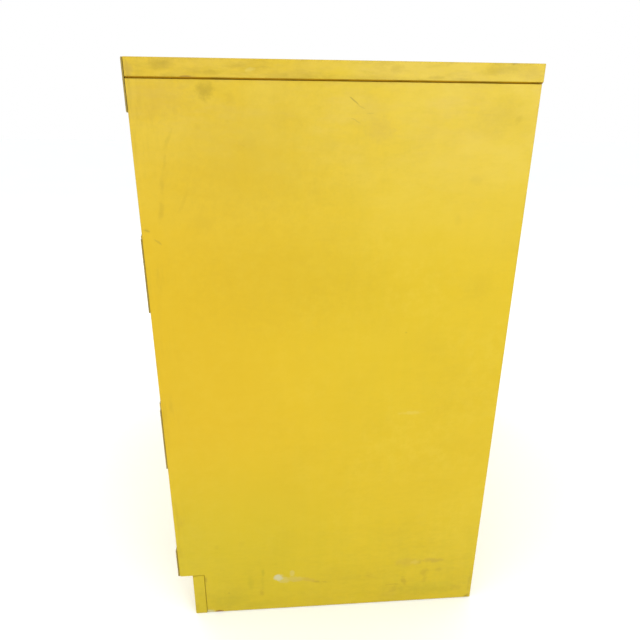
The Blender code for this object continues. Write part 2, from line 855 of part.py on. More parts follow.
def shelf_clips():
    """Angles hooked into the standards: a tab under the shelf, a back plate and a hook in a slot."""
    slot = math.floor((SHELF_Z - SHELF_BOARD - STANDARD_LOW) / SLOT_PITCH) - 0.5
    hook_z = STANDARD_LOW + slot * SLOT_PITCH
    top = SHELF_Z - SHELF_BOARD - FIT
    back = INSIDE_X - 2 * FIT - STANDARD_PLATE
    hook = SLOT_HEIGHT / 2 - 2 * FIT
    low = hook_z - SLOT_HEIGHT
    outline = [
        (-CLIP_TAB, top),
        (-CLIP_TAB, top - CLIP_PLATE),
        (-CLIP_PLATE, top - CLIP_PLATE),
        (-CLIP_PLATE, low),
        (0, low),
        (0, hook_z - hook),
        (STANDARD_PLATE - FIT, hook_z - hook),
        (STANDARD_PLATE - FIT, hook_z + hook),
        (0, hook_z + hook),
        (0, top),
    ]
    for side, sign in SIDES.items():
        mesh = flat_mesh([[(sign * u, v) for u, v in outline]], SLOT_WIDTH - 4 * FIT)
        for place, depth in (("front", STANDARD_FRONT), ("back", STANDARD_BACK)):
            at = (sign * back, FRONT_Y + depth, 0)
            add(f"{place}_{side}_shelf_clip", mesh, STEEL, at, FACING_FRONT)


def shelf():
    start = axle_at("shelf_start", (0, 0, SHELF_Z))
    width = INSIDE_X - SHELF_GAP
    board = block(
        "shelf",
        (-width, FRONT_Y + SHELF_SETBACK, SHELF_Z - SHELF_BOARD),
        (width, BACK_INSIDE_Y - SHELF_GAP, SHELF_Z),
        YELLOW,
        start,
    )
    soften(board, SHELF_EDGE)


def spill_pan():
    """A welded tray that fills the cabinet's floor behind the doors."""
    low = Vector((PAN_GAP - INSIDE_X, FRONT_Y + PAN_SETBACK, DECK_Z + FIT))
    high = Vector((INSIDE_X - PAN_GAP, BACK_INSIDE_Y - PAN_GAP, DECK_Z + FIT + PAN_HEIGHT))
    mesh = box_mesh(high - low)
    shape = bmesh.new()
    shape.from_mesh(mesh)
    lid = max(shape.faces, key=lambda face: face.calc_center_median().z)
    bmesh.ops.delete(shape, geom=[lid], context="FACES")
    shape.to_mesh(mesh)
    shape.free()
    pan = add("spill_pan", mesh, PAN_PAINT, (low + high) / 2)
    sheet = pan.modifiers.new("sheet", "SOLIDIFY")
    sheet.thickness = PAN_SHEET
    sheet.offset = -1
    sheet.use_even_offset = True


# ---------------------------------------------------------------- back


def vent(level, x, z):
    """A collar through the back, a flame arrester screen inside it and a screwed cap over it."""
    behind = BACK_Y + FIT
    # Heights are measured outwards from the back of the cabinet.
    ring = [
        (COLLAR_BORE, FLANGE),
        (FLANGE_RADIUS, FLANGE),
        (FLANGE_RADIUS, 0),
        (COLLAR_RADIUS, 0),
        (COLLAR_RADIUS, -BOARD - FIT),
        (COLLAR_BORE, -BOARD - FIT),
    ]
    at = (x, behind, z)
    collar = add(f"{level}_vent_collar", turned_mesh(ring, True), STEEL, at, FACING_BACK)
    lathe(collar, 24)

    spots = [(0, 0), *circle((0, 0), SCREEN_RING, 6)]
    holes = [circle(spot, SCREEN_HOLE, 8) for spot in spots]
    screen = flat_mesh([circle((0, 0), SCREEN_RADIUS, 24), *holes], SCREEN_PLATE)
    at = (x, behind - SCREEN_SETBACK, z)
    add(f"{level}_flame_screen", screen, BRASS, at, FACING_BACK)

    profile = [
        (0, CAP_PLATE),
        (CAP_RADIUS - CAP_EDGE, CAP_PLATE),
        (CAP_RADIUS, CAP_PLATE - CAP_EDGE),
        (CAP_RADIUS, 0),
        (CAP_SPIGOT_RADIUS, 0),
        (CAP_SPIGOT_RADIUS, -CAP_SPIGOT),
        (0, -CAP_SPIGOT),
    ]
    seat = behind + FLANGE + FIT
    axle = axle_at(f"{level}_vent_cap_axis", (x, seat, z))
    cap = add(
        f"{level}_vent_cap", turned_mesh(profile, False), YELLOW, (x, seat, z), FACING_BACK, axle
    )
    lathe(cap, 24)
    lug = block_helper(
        f"{level}_vent_lug",
        (x - CAP_LUG_LENGTH / 2, seat + CAP_PLATE / 2, z - CAP_LUG_WIDTH / 2),
        (x + CAP_LUG_LENGTH / 2, seat + CAP_PLATE + CAP_LUG, z + CAP_LUG_WIDTH / 2),
        axle,
    )
    combine(cap, lug, "UNION")


def earthing_stud():
    """A bolt through the back panel, with its nut outside for the earthing wire."""
    profile = [
        (0, STUD_LENGTH),
        (STUD_RADIUS, STUD_LENGTH),
        (STUD_RADIUS, 0),
        (STUD_HEAD_RADIUS, 0),
        (STUD_HEAD_RADIUS, -STUD_HEAD),
        (0, -STUD_HEAD),
    ]
    at = (STUD_X, BACK_INSIDE_Y - FIT, STUD_Z)
    lathe(add("earthing_stud", turned_mesh(profile, False), BRASS, at, FACING_BACK), 12)
    nut = flat_mesh([circle((0, 0), NUT_RADIUS, 6), circle((0, 0), STUD_HOLE, 12)], NUT_HEIGHT)
    at = (STUD_X, BACK_Y + FIT + NUT_HEIGHT / 2, STUD_Z)
    add("earthing_nut", nut, BRASS, at, FACING_BACK)


side_panels()
top_panel()
inner_boards()
back_panel()
corner_braces()
right_door()
left_door()
keepers()
shelf_standards()
shelf_clips()
shelf()
spill_pan()
vent("upper", -VENT_X, UPPER_VENT_Z)
vent("lower", VENT_X, LOWER_VENT_Z)
earthing_stud()
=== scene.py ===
"""Looks of the wooden cabinet for flammable liquids: paint, metal, screws, floor, light and camera."""

import json
import math

import bmesh
import bpy
from mathutils import Matrix, Vector


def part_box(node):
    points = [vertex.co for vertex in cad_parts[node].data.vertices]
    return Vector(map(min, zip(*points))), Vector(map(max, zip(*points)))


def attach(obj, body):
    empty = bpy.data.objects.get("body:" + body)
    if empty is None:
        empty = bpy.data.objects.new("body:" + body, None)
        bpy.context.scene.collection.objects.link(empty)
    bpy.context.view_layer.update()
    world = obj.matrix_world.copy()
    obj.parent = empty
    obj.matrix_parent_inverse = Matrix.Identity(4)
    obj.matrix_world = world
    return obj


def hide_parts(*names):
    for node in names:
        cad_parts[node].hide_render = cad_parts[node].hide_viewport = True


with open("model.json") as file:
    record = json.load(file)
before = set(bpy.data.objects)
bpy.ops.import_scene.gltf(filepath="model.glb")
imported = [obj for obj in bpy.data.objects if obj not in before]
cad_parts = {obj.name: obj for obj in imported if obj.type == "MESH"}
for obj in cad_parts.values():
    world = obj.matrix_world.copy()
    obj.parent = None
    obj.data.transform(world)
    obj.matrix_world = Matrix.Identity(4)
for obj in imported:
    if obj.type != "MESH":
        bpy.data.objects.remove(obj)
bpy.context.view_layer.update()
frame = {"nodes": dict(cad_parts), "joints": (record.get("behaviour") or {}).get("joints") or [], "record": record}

NODES = frame["nodes"]
JOINTS = {joint["name"]: joint for joint in frame["joints"]}
SIDES = {"right": 1, "left": -1}
LEVELS = ("upper", "lower")

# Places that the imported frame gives
SIDE_LOW, SIDE_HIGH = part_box("right_side_panel")
FRONT_Y = SIDE_LOW.y
BACK_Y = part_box("back_panel")[1].y
SIDE_X = SIDE_HIGH.x
SIDE_TOP = SIDE_HIGH.z
TOP_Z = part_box("top_panel")[1].z
TOE_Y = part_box("toe_board")[0].y
SHELF_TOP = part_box("shelf")[1].z
DOOR_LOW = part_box("right_door")[0].z
PAN_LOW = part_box("spill_pan")[0].z
LATCH = Vector(JOINTS["handle_turn"]["pos_m"])
PULL_X = sum(corner.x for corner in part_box("pull_handle")) / 2

# The slot between the top and the side panels, painted dark as shade with some dirt
REVEAL_TOP = SIDE_TOP + 0.0022

# Camera: its place from the foot of the side panel's front edge, its turns in degrees,
# and its lens and sensor in mm
CAMERA_OFFSET = Vector((0.7237, 0.1869, 0.8371))
CAMERA_HEADING = 85.459
CAMERA_TILT = 69.618
CAMERA_ROLL = 0.469
CAMERA_LENS = 29.432
CAMERA_SENSOR = 36.0


# ---------------------------------------------------------------- material tools


def rgba(colour):
    """A colour with its alpha. A socket passes through unchanged."""
    return (*colour, 1.0) if isinstance(colour, tuple) else colour


class Surface:
    """A Principled material, with short calls for the nodes that feed it. Places are in the row frame."""

    def __init__(self, name):
        self.material = bpy.data.materials.new(name)
        self.material.use_nodes = True
        self.tree = self.material.node_tree
        self.shader = self.tree.nodes["Principled BSDF"]
        texture_place = self.node("ShaderNodeTexCoord")
        self.facing = texture_place.outputs["Normal"]
        self.place = texture_place.outputs["Object"]
        self.x, self.y, self.z = self.axes(self.place)
        self.loose_place = self.wander(WANDER)

    def node(self, kind, **settings):
        made = self.tree.nodes.new(kind)
        for name, value in settings.items():
            setattr(made, name, value)
        return made

    def feed(self, socket, value):
        """Links a socket, or sets it to a number or a colour."""
        if isinstance(value, bpy.types.NodeSocket):
            self.tree.links.new(value, socket)
        else:
            socket.default_value = value

    def axes(self, vector):
        made = self.node("ShaderNodeSeparateXYZ")
        self.feed(made.inputs[0], vector)
        return made.outputs

    def noise(self, scale, detail=3.0, rough=0.55, stretch=(1, 1, 1), shift=0.0):
        """Soft noise about 0.5. A stretch below 1 draws it out along that axis."""
        mapping = self.node("ShaderNodeMapping")
        self.feed(mapping.inputs["Vector"], self.place)
        mapping.inputs["Scale"].default_value = stretch
        mapping.inputs["Location"].default_value = (shift, shift, shift)
        made = self.node("ShaderNodeTexNoise")
        self.feed(made.inputs["Vector"], mapping.outputs["Vector"])
        made.inputs["Scale"].default_value = scale
        made.inputs["Detail"].default_value = detail
        made.inputs["Roughness"].default_value = rough
        return made.outputs["Fac"]

    def wander(self, reach):
        """The place, moved by up to half of reach each way, for marks with no clean outline."""
        drift = self.node("ShaderNodeTexNoise")
        self.feed(drift.inputs["Vector"], self.place)
        drift.inputs["Scale"].default_value = 48.0
        drift.inputs["Detail"].default_value = 4.0
        moved = self.node("ShaderNodeVectorMath", operation="MULTIPLY_ADD")
        self.feed(moved.inputs[0], drift.outputs["Color"])
        moved.inputs[1].default_value = (reach, reach, reach)
        self.feed(moved.inputs[2], self.place)
        return moved.outputs[0]

    def cells(self, scale, feature="F1"):
        made = self.node("ShaderNodeTexVoronoi", feature=feature)
        self.feed(made.inputs["Vector"], self.place)
        made.inputs["Scale"].default_value = scale
        return made.outputs

    def spot(self, at, size, tilt=(0, 0, 0), loose=False):
        """1 at a place, falling evenly to 0 at the rim of an ellipsoid of these half sizes."""
        mapping = self.node("ShaderNodeMapping", vector_type="TEXTURE")
        self.feed(mapping.inputs["Vector"], self.loose_place if loose else self.place)
        offset = WANDER / 2 if loose else 0.0
        mapping.inputs["Location"].default_value = [value + offset for value in at]
        mapping.inputs["Rotation"].default_value = tilt
        mapping.inputs["Scale"].default_value = size
        made = self.node("ShaderNodeTexGradient", gradient_type="SPHERICAL")
        self.feed(made.inputs["Vector"], mapping.outputs["Vector"])
        return made.outputs["Fac"]

    def range(self, value, low, high, start=0.0, end=1.0):
        """Eases a value from low to high onto start to end."""
        made = self.node("ShaderNodeMapRange", interpolation_type="SMOOTHSTEP")
        limits = {"Value": value, "From Min": low, "From Max": high, "To Min": start, "To Max": end}
        for name, number in limits.items():
            self.feed(made.inputs[name], number)
        return made.outputs["Result"]

    def maths(self, operation, *values):
        total = values[0]
        for value in values[1:]:
            made = self.node("ShaderNodeMath", operation=operation)
            self.feed(made.inputs[0], total)
            self.feed(made.inputs[1], value)
            total = made.outputs[0]
        return total

    def product(self, *values):
        return self.maths("MULTIPLY", *values)

    def total(self, *values):
        return self.maths("ADD", *values)

    def most(self, *values):
        return self.maths("MAXIMUM", *values)

    def blend(self, amount, under, over):
        made = self.node("ShaderNodeMix", data_type="RGBA")
        self.feed(made.inputs["Factor"], amount)
        self.feed(made.inputs[6], rgba(under))
        self.feed(made.inputs[7], rgba(over))
        return made.outputs[2]

    def edge(self, radius, low=0.02, high=0.25):
        """1 on sharp edges, falling to 0 about one radius away."""
        bent = self.node("ShaderNodeBevel", samples=6)
        bent.inputs["Radius"].default_value = radius
        flat = self.node("ShaderNodeNewGeometry").outputs["Normal"]
        dot = self.node("ShaderNodeVectorMath", operation="DOT_PRODUCT")
        self.feed(dot.inputs[0], bent.outputs["Normal"])
        self.feed(dot.inputs[1], flat)
        return self.range(self.maths("SUBTRACT", 1.0, dot.outputs["Value"]), low, high)

    def crevice(self, reach):
        """1 deep in a gap or an inside corner, 0 on open surfaces: the mask of painted shade."""
        made = self.node("ShaderNodeAmbientOcclusion", samples=6)
        made.inputs["Distance"].default_value = reach
        return self.range(made.outputs["AO"], 0.62, 0.25)

    def bumps(self, *layers):
        """Each layer is (height, strength, distance in metres)."""
        normal = None
        for height, strength, distance in layers:
            made = self.node("ShaderNodeBump")
            self.feed(made.inputs["Height"], height)
            made.inputs["Strength"].default_value = strength
            made.inputs["Distance"].default_value = distance
            if normal is not None:
                self.feed(made.inputs["Normal"], normal)
            normal = made.outputs["Normal"]
        self.feed(self.shader.inputs["Normal"], normal)

    def finish(self, colour, roughness, metallic=0.0, specular=0.5):
        self.feed(self.shader.inputs["Base Color"], colour)
        self.feed(self.shader.inputs["Roughness"], roughness)
        self.feed(self.shader.inputs["Metallic"], metallic)
        self.shader.inputs["Specular IOR Level"].default_value = specular
        return self.material


# ---------------------------------------------------------------- marks on the paint

YELLOW = (0.600, 0.406, 0.0060)
YELLOW_DEEP = (0.572, 0.384, 0.0055)
YELLOW_WARM = (0.600, 0.364, 0.0045)
YELLOW_PALE = (0.650, 0.466, 0.030)
PAINTED_SHEEN = (0.616, 0.438, 0.046)
BLUISH_TAN = (0.540, 0.370, 0.085)
OLIVE = (0.440, 0.352, 0.0045)
GRIME_AND_SHADE = (0.290, 0.195, 0.010)
SCUFF = (0.100, 0.070, 0.030)
GROOVE_BROWN = (0.400, 0.200, 0.001)
GROOVE_DARK = (0.270, 0.140, 0.002)
PRIMER = (0.500, 0.455, 0.250)
BARE_WOOD = (0.360, 0.215, 0.100)
BARE_STEEL = (0.130, 0.100, 0.060)
RUST = (0.230, 0.085, 0.035)

# What each kind of mark shows, and how soft its rim is
MARK_KINDS = {
    "grime": (GRIME_AND_SHADE, 0.90),
    "olive": ((0.250, 0.240, 0.006), 0.90),
    "tan": ((0.430, 0.285, 0.045), 0.75),
    "pale": ((0.640, 0.500, 0.120), 0.75),
    "scratch": (SCUFF, 0.35),
    "brown": (RUST, 0.50),
    "chip": (PRIMER, 0.50),
}
BROKEN_KINDS = ("scratch", "brown", "chip")

# How far a mark's outline strays, and how far off its face a mark still shows
WANDER = 0.0070
MARK_DEPTH = 0.010

# Marks on each face: kind, distance along it, distance up it, length, width, tilt in degrees, strength.
# Along runs from the front edge on the sides, and to the right of the middle on the others.
# Up is the height, or on the top how far behind the front edge.
MARKS = {
    "right": (
        ("chip", 0.174, 0.074, 0.026, 0.022, 10, 0.95),
        ("chip", 0.183, 0.069, 0.034, 0.022, -10, 0.24),
        ("chip", 0.198, 0.083, 0.013, 0.018, 0, 0.26),
        ("chip", 0.204, 0.070, 0.044, 0.018, -6, 0.14),
        ("tan", 0.208, 0.068, 0.060, 0.018, -6, 0.30),
        ("tan", 0.226, 0.066, 0.050, 0.015, -12, 0.44),
        ("grime", 0.241, 0.061, 0.024, 0.009, -20, 0.42),
        ("grime", 0.256, 0.059, 0.026, 0.005, -8, 0.30),
        ("olive", 0.146, 0.088, 0.009, 0.028, 0, 0.30),
        ("olive", 0.145, 0.064, 0.009, 0.060, 0, 0.13),
        ("grime", 0.143, 0.041, 0.015, 0.028, 0, 0.30),
        ("olive", 0.088, 0.028, 0.110, 0.064, 0, 0.17),
        ("olive", 0.132, 0.014, 0.130, 0.030, 0, 0.16),
        ("grime", 0.083, 0.045, 0.008, 0.007, 0, 0.30),
        ("olive", 0.124, 0.066, 0.018, 0.050, 0, 0.20),
        ("grime", 0.068, 0.150, 0.014, 0.018, 0, 0.12),
        ("grime", 0.112, 0.156, 0.018, 0.018, 0, 0.10),
        ("brown", 0.065, 0.003, 0.020, 0.007, 0, 0.80),
        ("chip", 0.049, 0.003, 0.020, 0.013, 0, 0.80),
        ("grime", 0.044, 0.079, 0.010, 0.020, 0, 0.50),
        ("brown", 0.046, 0.002, 0.006, 0.007, 0, 0.60),
        ("tan", 0.410, 0.094, 0.080, 0.028, 0, 0.28),
        ("tan", 0.452, 0.096, 0.070, 0.016, 0, 0.26),
        ("pale", 0.421, 0.094, 0.024, 0.016, 20, 0.20),
        ("grime", 0.430, 0.094, 0.010, 0.018, 0, 0.20),
        ("grime", 0.456, 0.095, 0.070, 0.014, -2, 0.26),
        ("grime", 0.441, 0.068, 0.026, 0.030, 0, 0.28),
        ("grime", 0.441, 0.052, 0.014, 0.020, 0, 0.20),
        ("grime", 0.466, 0.073, 0.020, 0.020, 0, 0.20),
        ("grime", 0.404, 0.050, 0.034, 0.014, -66, 0.34),
        ("grime", 0.381, 0.043, 0.048, 0.007, 0, 0.32),
        ("grime", 0.385, 0.032, 0.030, 0.026, 0, 0.20),
        ("tan", 0.376, 0.022, 0.044, 0.022, 0, 0.12),
        ("olive", 0.450, 0.030, 0.160, 0.050, 0, 0.20),
        ("grime", 0.340, 0.068, 0.040, 0.030, 0, 0.14),
        ("grime", 0.503, 0.026, 0.034, 0.022, 0, 0.20),
        ("grime", 0.529, 0.040, 0.010, 0.090, 0, 0.26),
        ("grime", 0.527, 0.005, 0.020, 0.014, 30, 0.95),
        ("grime", 0.097, 0.877, 0.040, 0.038, 20, 0.54),
        ("grime", 0.096, 0.876, 0.026, 0.022, 0, 0.30),
        ("grime", 0.056, 0.855, 0.008, 0.034, 0, 0.14),
        ("grime", 0.046, 0.820, 0.010, 0.050, -24, 0.23),
        ("grime", 0.039, 0.790, 0.010, 0.050, -14, 0.22),
        ("grime", 0.034, 0.762, 0.011, 0.050, -6, 0.25),
        ("grime", 0.029, 0.728, 0.011, 0.050, -8, 0.24),
        ("grime", 0.040, 0.775, 0.020, 0.170, -14, 0.11),
        ("grime", 0.062, 0.744, 0.011, 0.080, -24, 0.15),
        ("grime", 0.082, 0.712, 0.070, 0.060, 0, 0.12),
        ("grime", 0.008, 0.701, 0.018, 0.009, -20, 0.24),
        ("scratch", 0.008, 0.701, 0.013, 0.0034, -22, 0.18),
        ("scratch", 0.021, 0.686, 0.014, 0.0034, -37, 0.18),
        ("grime", 0.084, 0.834, 0.020, 0.024, 30, 0.20),
        ("grime", 0.122, 0.842, 0.012, 0.012, 0, 0.20),
        ("grime", 0.142, 0.812, 0.020, 0.014, -20, 0.26),
        ("grime", 0.146, 0.812, 0.090, 0.070, 20, 0.20),
        ("grime", 0.128, 0.868, 0.026, 0.040, 20, 0.20),
        ("scratch", 0.287, 0.868, 0.022, 0.0024, -34, 0.34),
        ("scratch", 0.296, 0.861, 0.016, 0.0022, -26, 0.16),
        ("scratch", 0.289, 0.843, 0.018, 0.0020, -30, 0.16),
        ("scratch", 0.308, 0.853, 0.012, 0.0022, 0, 0.12),
        ("tan", 0.312, 0.858, 0.056, 0.050, -30, 0.16),
        ("tan", 0.322, 0.834, 0.056, 0.056, 30, 0.28),
        ("grime", 0.252, 0.812, 0.060, 0.070, 60, 0.14),
        ("grime", 0.480, 0.850, 0.110, 0.060, 30, 0.12),
        ("grime", 0.507, 0.847, 0.018, 0.015, 40, 0.17),
        ("grime", 0.458, 0.769, 0.036, 0.022, 10, 0.13),
        ("grime", 0.438, 0.714, 0.020, 0.030, 10, 0.10),
        ("grime", 0.284, 0.622, 0.022, 0.050, 0, 0.11),
        ("grime", 0.480, 0.610, 0.060, 0.080, 0, 0.08),
        ("grime", 0.375, 0.545, 0.005, 0.005, 0, 0.40),
        ("pale", 0.393, 0.405, 0.060, 0.010, 0, 0.24),
        ("tan", 0.030, 0.866, 0.150, 0.080, 10, 0.20),
        ("grime", 0.150, 0.848, 0.240, 0.130, 0, 0.07),
        ("grime", 0.150, 0.800, 0.420, 0.340, 0, 0.15),
        ("grime", 0.190, 0.640, 0.460, 0.300, 0, 0.09),
        ("grime", 0.046, 0.907, 0.050, 0.018, 0, 0.42),
        ("grime", 0.105, 0.897, 0.050, 0.010, 0, 0.34),
        ("tan", 0.005, 0.900, 0.020, 0.028, 0, 0.50),
        ("pale", 0.154, 0.902, 0.018, 0.008, 10, 0.30),
        ("brown", 0.076, 0.893, 0.026, 0.003, 0, 0.45),
        ("grime", 0.340, 0.906, 0.026, 0.014, 0, 0.26),
        ("grime", 0.392, 0.896, 0.036, 0.007, 0, 0.26),
        ("grime", 0.470, 0.905, 0.080, 0.016, 5, 0.24),
        ("tan", 0.516, 0.903, 0.044, 0.026, 0, 0.26),
        ("grime", 0.494, 0.914, 0.014, 0.005, 0, 0.60),
    ),
    "left": (
        ("grime", 0.120, 0.060, 0.200, 0.080, 0, 0.30),
        ("olive", 0.380, 0.040, 0.260, 0.060, 0, 0.30),
        ("scratch", 0.210, 0.104, 0.140, 0.0030, 6, 0.40),
        ("scratch", 0.245, 0.128, 0.080, 0.0024, 12, 0.30),
        ("chip", 0.300, 0.052, 0.020, 0.011, -20, 0.80),
        ("pale", 0.322, 0.058, 0.050, 0.012, -8, 0.45),
        ("chip", 0.528, 0.012, 0.012, 0.020, 0, 0.70),
        ("tan", 0.440, 0.330, 0.090, 0.060, 20, 0.25),
        ("scratch", 0.120, 0.560, 0.090, 0.0022, -58, 0.35),
        ("grime", 0.060, 0.640, 0.100, 0.170, 0, 0.20),
        ("grime", 0.350, 0.820, 0.180, 0.100, 10, 0.18),
        ("scratch", 0.430, 0.780, 0.060, 0.0024, 30, 0.35),
        ("grime", 0.470, 0.870, 0.030, 0.024, 0, 0.45),
        ("brown", 0.150, 0.004, 0.040, 0.008, 0, 0.70),
    ),
    "front": (
        ("grime", LATCH.x + 0.020, LATCH.z + 0.010, 0.240, 0.200, 10, 0.26),
        ("grime", LATCH.x + 0.100, LATCH.z - 0.018, 0.110, 0.060, 5, 0.30),
        ("grime", PULL_X - 0.012, LATCH.z, 0.120, 0.230, 0, 0.32),
        ("grime", 0.010, 0.640, 0.050, 0.300, 0, 0.22),
        ("scratch", LATCH.x + 0.052, LATCH.z - 0.047, 0.036, 0.0022, 40, 0.40),
        ("scratch", LATCH.x + 0.036, LATCH.z - 0.061, 0.024, 0.0022, 30, 0.30),
        ("olive", 0.200, DOOR_LOW + 0.010, 0.340, 0.060, 0, 0.34),
        ("olive", -0.230, DOOR_LOW + 0.010, 0.300, 0.060, 0, 0.34),
        ("grime", 0.210, DOOR_LOW + 0.030, 0.140, 0.024, 4, 0.45),
        ("grime", 0.305, DOOR_LOW + 0.052, 0.080, 0.014, -8, 0.40),
        ("scratch", 0.262, DOOR_LOW + 0.080, 0.050, 0.0028, 16, 0.50),
        ("chip", 0.352, DOOR_LOW + 0.016, 0.020, 0.012, 0, 0.80),
        ("grime", -0.170, DOOR_LOW + 0.040, 0.170, 0.022, -5, 0.40),
        ("scratch", -0.246, DOOR_LOW + 0.105, 0.070, 0.0026, -20, 0.45),
        ("chip", -0.090, DOOR_LOW + 0.010, 0.016, 0.014, 0, 0.70),
        ("tan", -0.300, DOOR_LOW + 0.210, 0.080, 0.050, 30, 0.24),
        ("scratch", 0.180, 0.742, 0.070, 0.0022, -30, 0.35),
        ("scratch", -0.150, 0.690, 0.044, 0.0022, 25, 0.35),
        ("tan", 0.260, 0.640, 0.090, 0.070, 10, 0.18),
    ),
    "toe": (
        ("grime", 0.060, 0.045, 0.500, 0.040, 0, 0.30),
        ("grime", -0.250, 0.030, 0.300, 0.030, 0, 0.30),
        ("olive", 0.150, 0.010, 0.560, 0.030, 0, 0.40),
        ("chip", -0.130, 0.060, 0.024, 0.010, 10, 0.75),
        ("chip", 0.320, 0.006, 0.040, 0.012, 0, 0.60),
        ("scratch", 0.150, 0.052, 0.120, 0.0030, 4, 0.45),
        ("grime", SIDE_X, 0.088, 0.034, 0.010, 0, 0.40),
        ("grime", SIDE_X, 0.016, 0.030, 0.030, 0, 0.30),
    ),
    "back": (
        ("grime", -0.150, 0.060, 0.500, 0.110, 0, 0.26),
        ("olive", 0.250, 0.050, 0.300, 0.090, 0, 0.30),
        ("scratch", 0.100, 0.420, 0.180, 0.0030, 24, 0.40),
        ("scratch", -0.060, 0.700, 0.090, 0.0024, -40, 0.30),
        ("scratch", -0.210, 0.300, 0.120, 0.0026, 8, 0.34),
        ("tan", 0.180, 0.620, 0.130, 0.080, 30, 0.24),
        ("tan", -0.260, 0.520, 0.070, 0.110, 0, 0.22),
        ("grime", -0.300, 0.722, 0.050, 0.140, 0, 0.26),
        ("grime", 0.300, 0.180, 0.050, 0.140, 0, 0.26),
        ("brown", -0.360, 0.175, 0.012, 0.060, 0, 0.45),
        ("chip", -0.395, 0.020, 0.026, 0.020, 30, 0.80),
        ("chip", 0.130, 0.006, 0.060, 0.012, 0, 0.60),
        ("pale", 0.020, 0.830, 0.180, 0.050, -6, 0.30),
    ),
    "top": (
        ("scratch", 0.120, 0.200, 0.240, 0.0030, 24, 0.34),
        ("scratch", -0.180, 0.330, 0.160, 0.0026, -36, 0.34),
        ("scratch", -0.060, 0.120, 0.100, 0.0026, 70, 0.30),
        ("scratch", 0.300, 0.410, 0.130, 0.0026, 10, 0.30),
        ("grime", 0.000, 0.016, 0.700, 0.050, 0, 0.36),
        ("grime", 0.180, 0.300, 0.300, 0.200, 20, 0.20),
        ("grime", -0.260, 0.160, 0.220, 0.180, 0, 0.20),
        ("tan", -0.080, 0.420, 0.160, 0.090, 15, 0.24),
        ("pale", 0.320, 0.150, 0.090, 0.060, 40, 0.45),
        ("chip", -0.400, 0.006, 0.030, 0.012, 0, 0.80),
        ("chip", 0.210, 0.004, 0.018, 0.008, 0, 0.70),
        ("brown", -0.330, 0.400, 0.030, 0.024, 0, 0.40),
    ),
}

# Rings that cans left: how far right of the middle, how far back, radius, strength
SHELF_RINGS = (
    (-0.300, 0.230, 0.084, 0.60),
    (-0.130, 0.330, 0.084, 0.45),
    (0.120, 0.210, 0.054, 0.55),
    (0.150, 0.390, 0.084, 0.40),
    (0.290, 0.260, 0.084, 0.65),
    (0.330, 0.400, 0.054, 0.45),
)
TOP_RINGS = (
    (-0.210, 0.250, 0.084, 0.34),
    (-0.150, 0.290, 0.084, 0.24),
    (0.230, 0.340, 0.054, 0.40),
)


def on_face(face, along, up, length, width, tilt):
    """The place, half sizes and turn of a mark on one face of the cabinet."""
    half, turn = (length / 2, width / 2), math.radians(tilt)
    if face in ("right", "left"):
        x = SIDE_X if face == "right" else -SIDE_X
        return (x, FRONT_Y + along, up), (MARK_DEPTH, *half), (turn, 0, 0)
    if face == "top":
        return (along, FRONT_Y + up, TOP_Z), (*half, MARK_DEPTH), (0, 0, turn)
    y = {"front": FRONT_Y, "toe": TOE_Y, "back": BACK_Y}[face]
    return (along, y, up), (half[0], MARK_DEPTH, half[1]), (0, -turn, 0)


def marked(paint, colour, *faces):
    """Lays the marks of some faces over a colour. Gives the colour and how far the paint is hurt."""
    fray = paint.total(paint.noise(120.0, 6.0, 0.75), -0.5)
    hurt = 0.0
    marks = [(face, *mark) for face in faces for mark in MARKS[face]]
    for kind, (shown, soft) in MARK_KINDS.items():
        shares = []
        loose_fray = paint.product(fray, 1.3 if kind in BROKEN_KINDS else 1.5)
        for face, mark_kind, *layout, strength in marks:
            if mark_kind != kind:
                continue
            spot = paint.spot(*on_face(face, *layout), loose=True)
            frayed = paint.total(spot, loose_fray)
            inside = paint.range(spot, 0.0, 0.35)
            shares.append(paint.product(paint.range(frayed, 0.05, 0.05 + soft, 0.0, strength), inside))
        if not shares:
            continue
        share = paint.most(*shares)
        colour = paint.blend(share, colour, shown)
        if kind in BROKEN_KINDS:
            hurt = paint.most(share, hurt)
    return colour, hurt


def ringed(paint, colour, rings, height):
    """Rusty rings, broken here and there, where wet cans stood."""
    broken = paint.range(paint.noise(38.0, 4.0, 0.65), 0.38, 0.58)
    for along, behind, radius, strength in rings:
        spot = paint.spot((along, FRONT_Y + behind, height), (radius, radius, MARK_DEPTH))
        band = paint.product(paint.range(spot, 0.0, 0.02), paint.range(spot, 0.075, 0.045))
        colour = paint.blend(paint.product(band, broken, strength), colour, RUST)
    return colour


# ---------------------------------------------------------------- paint


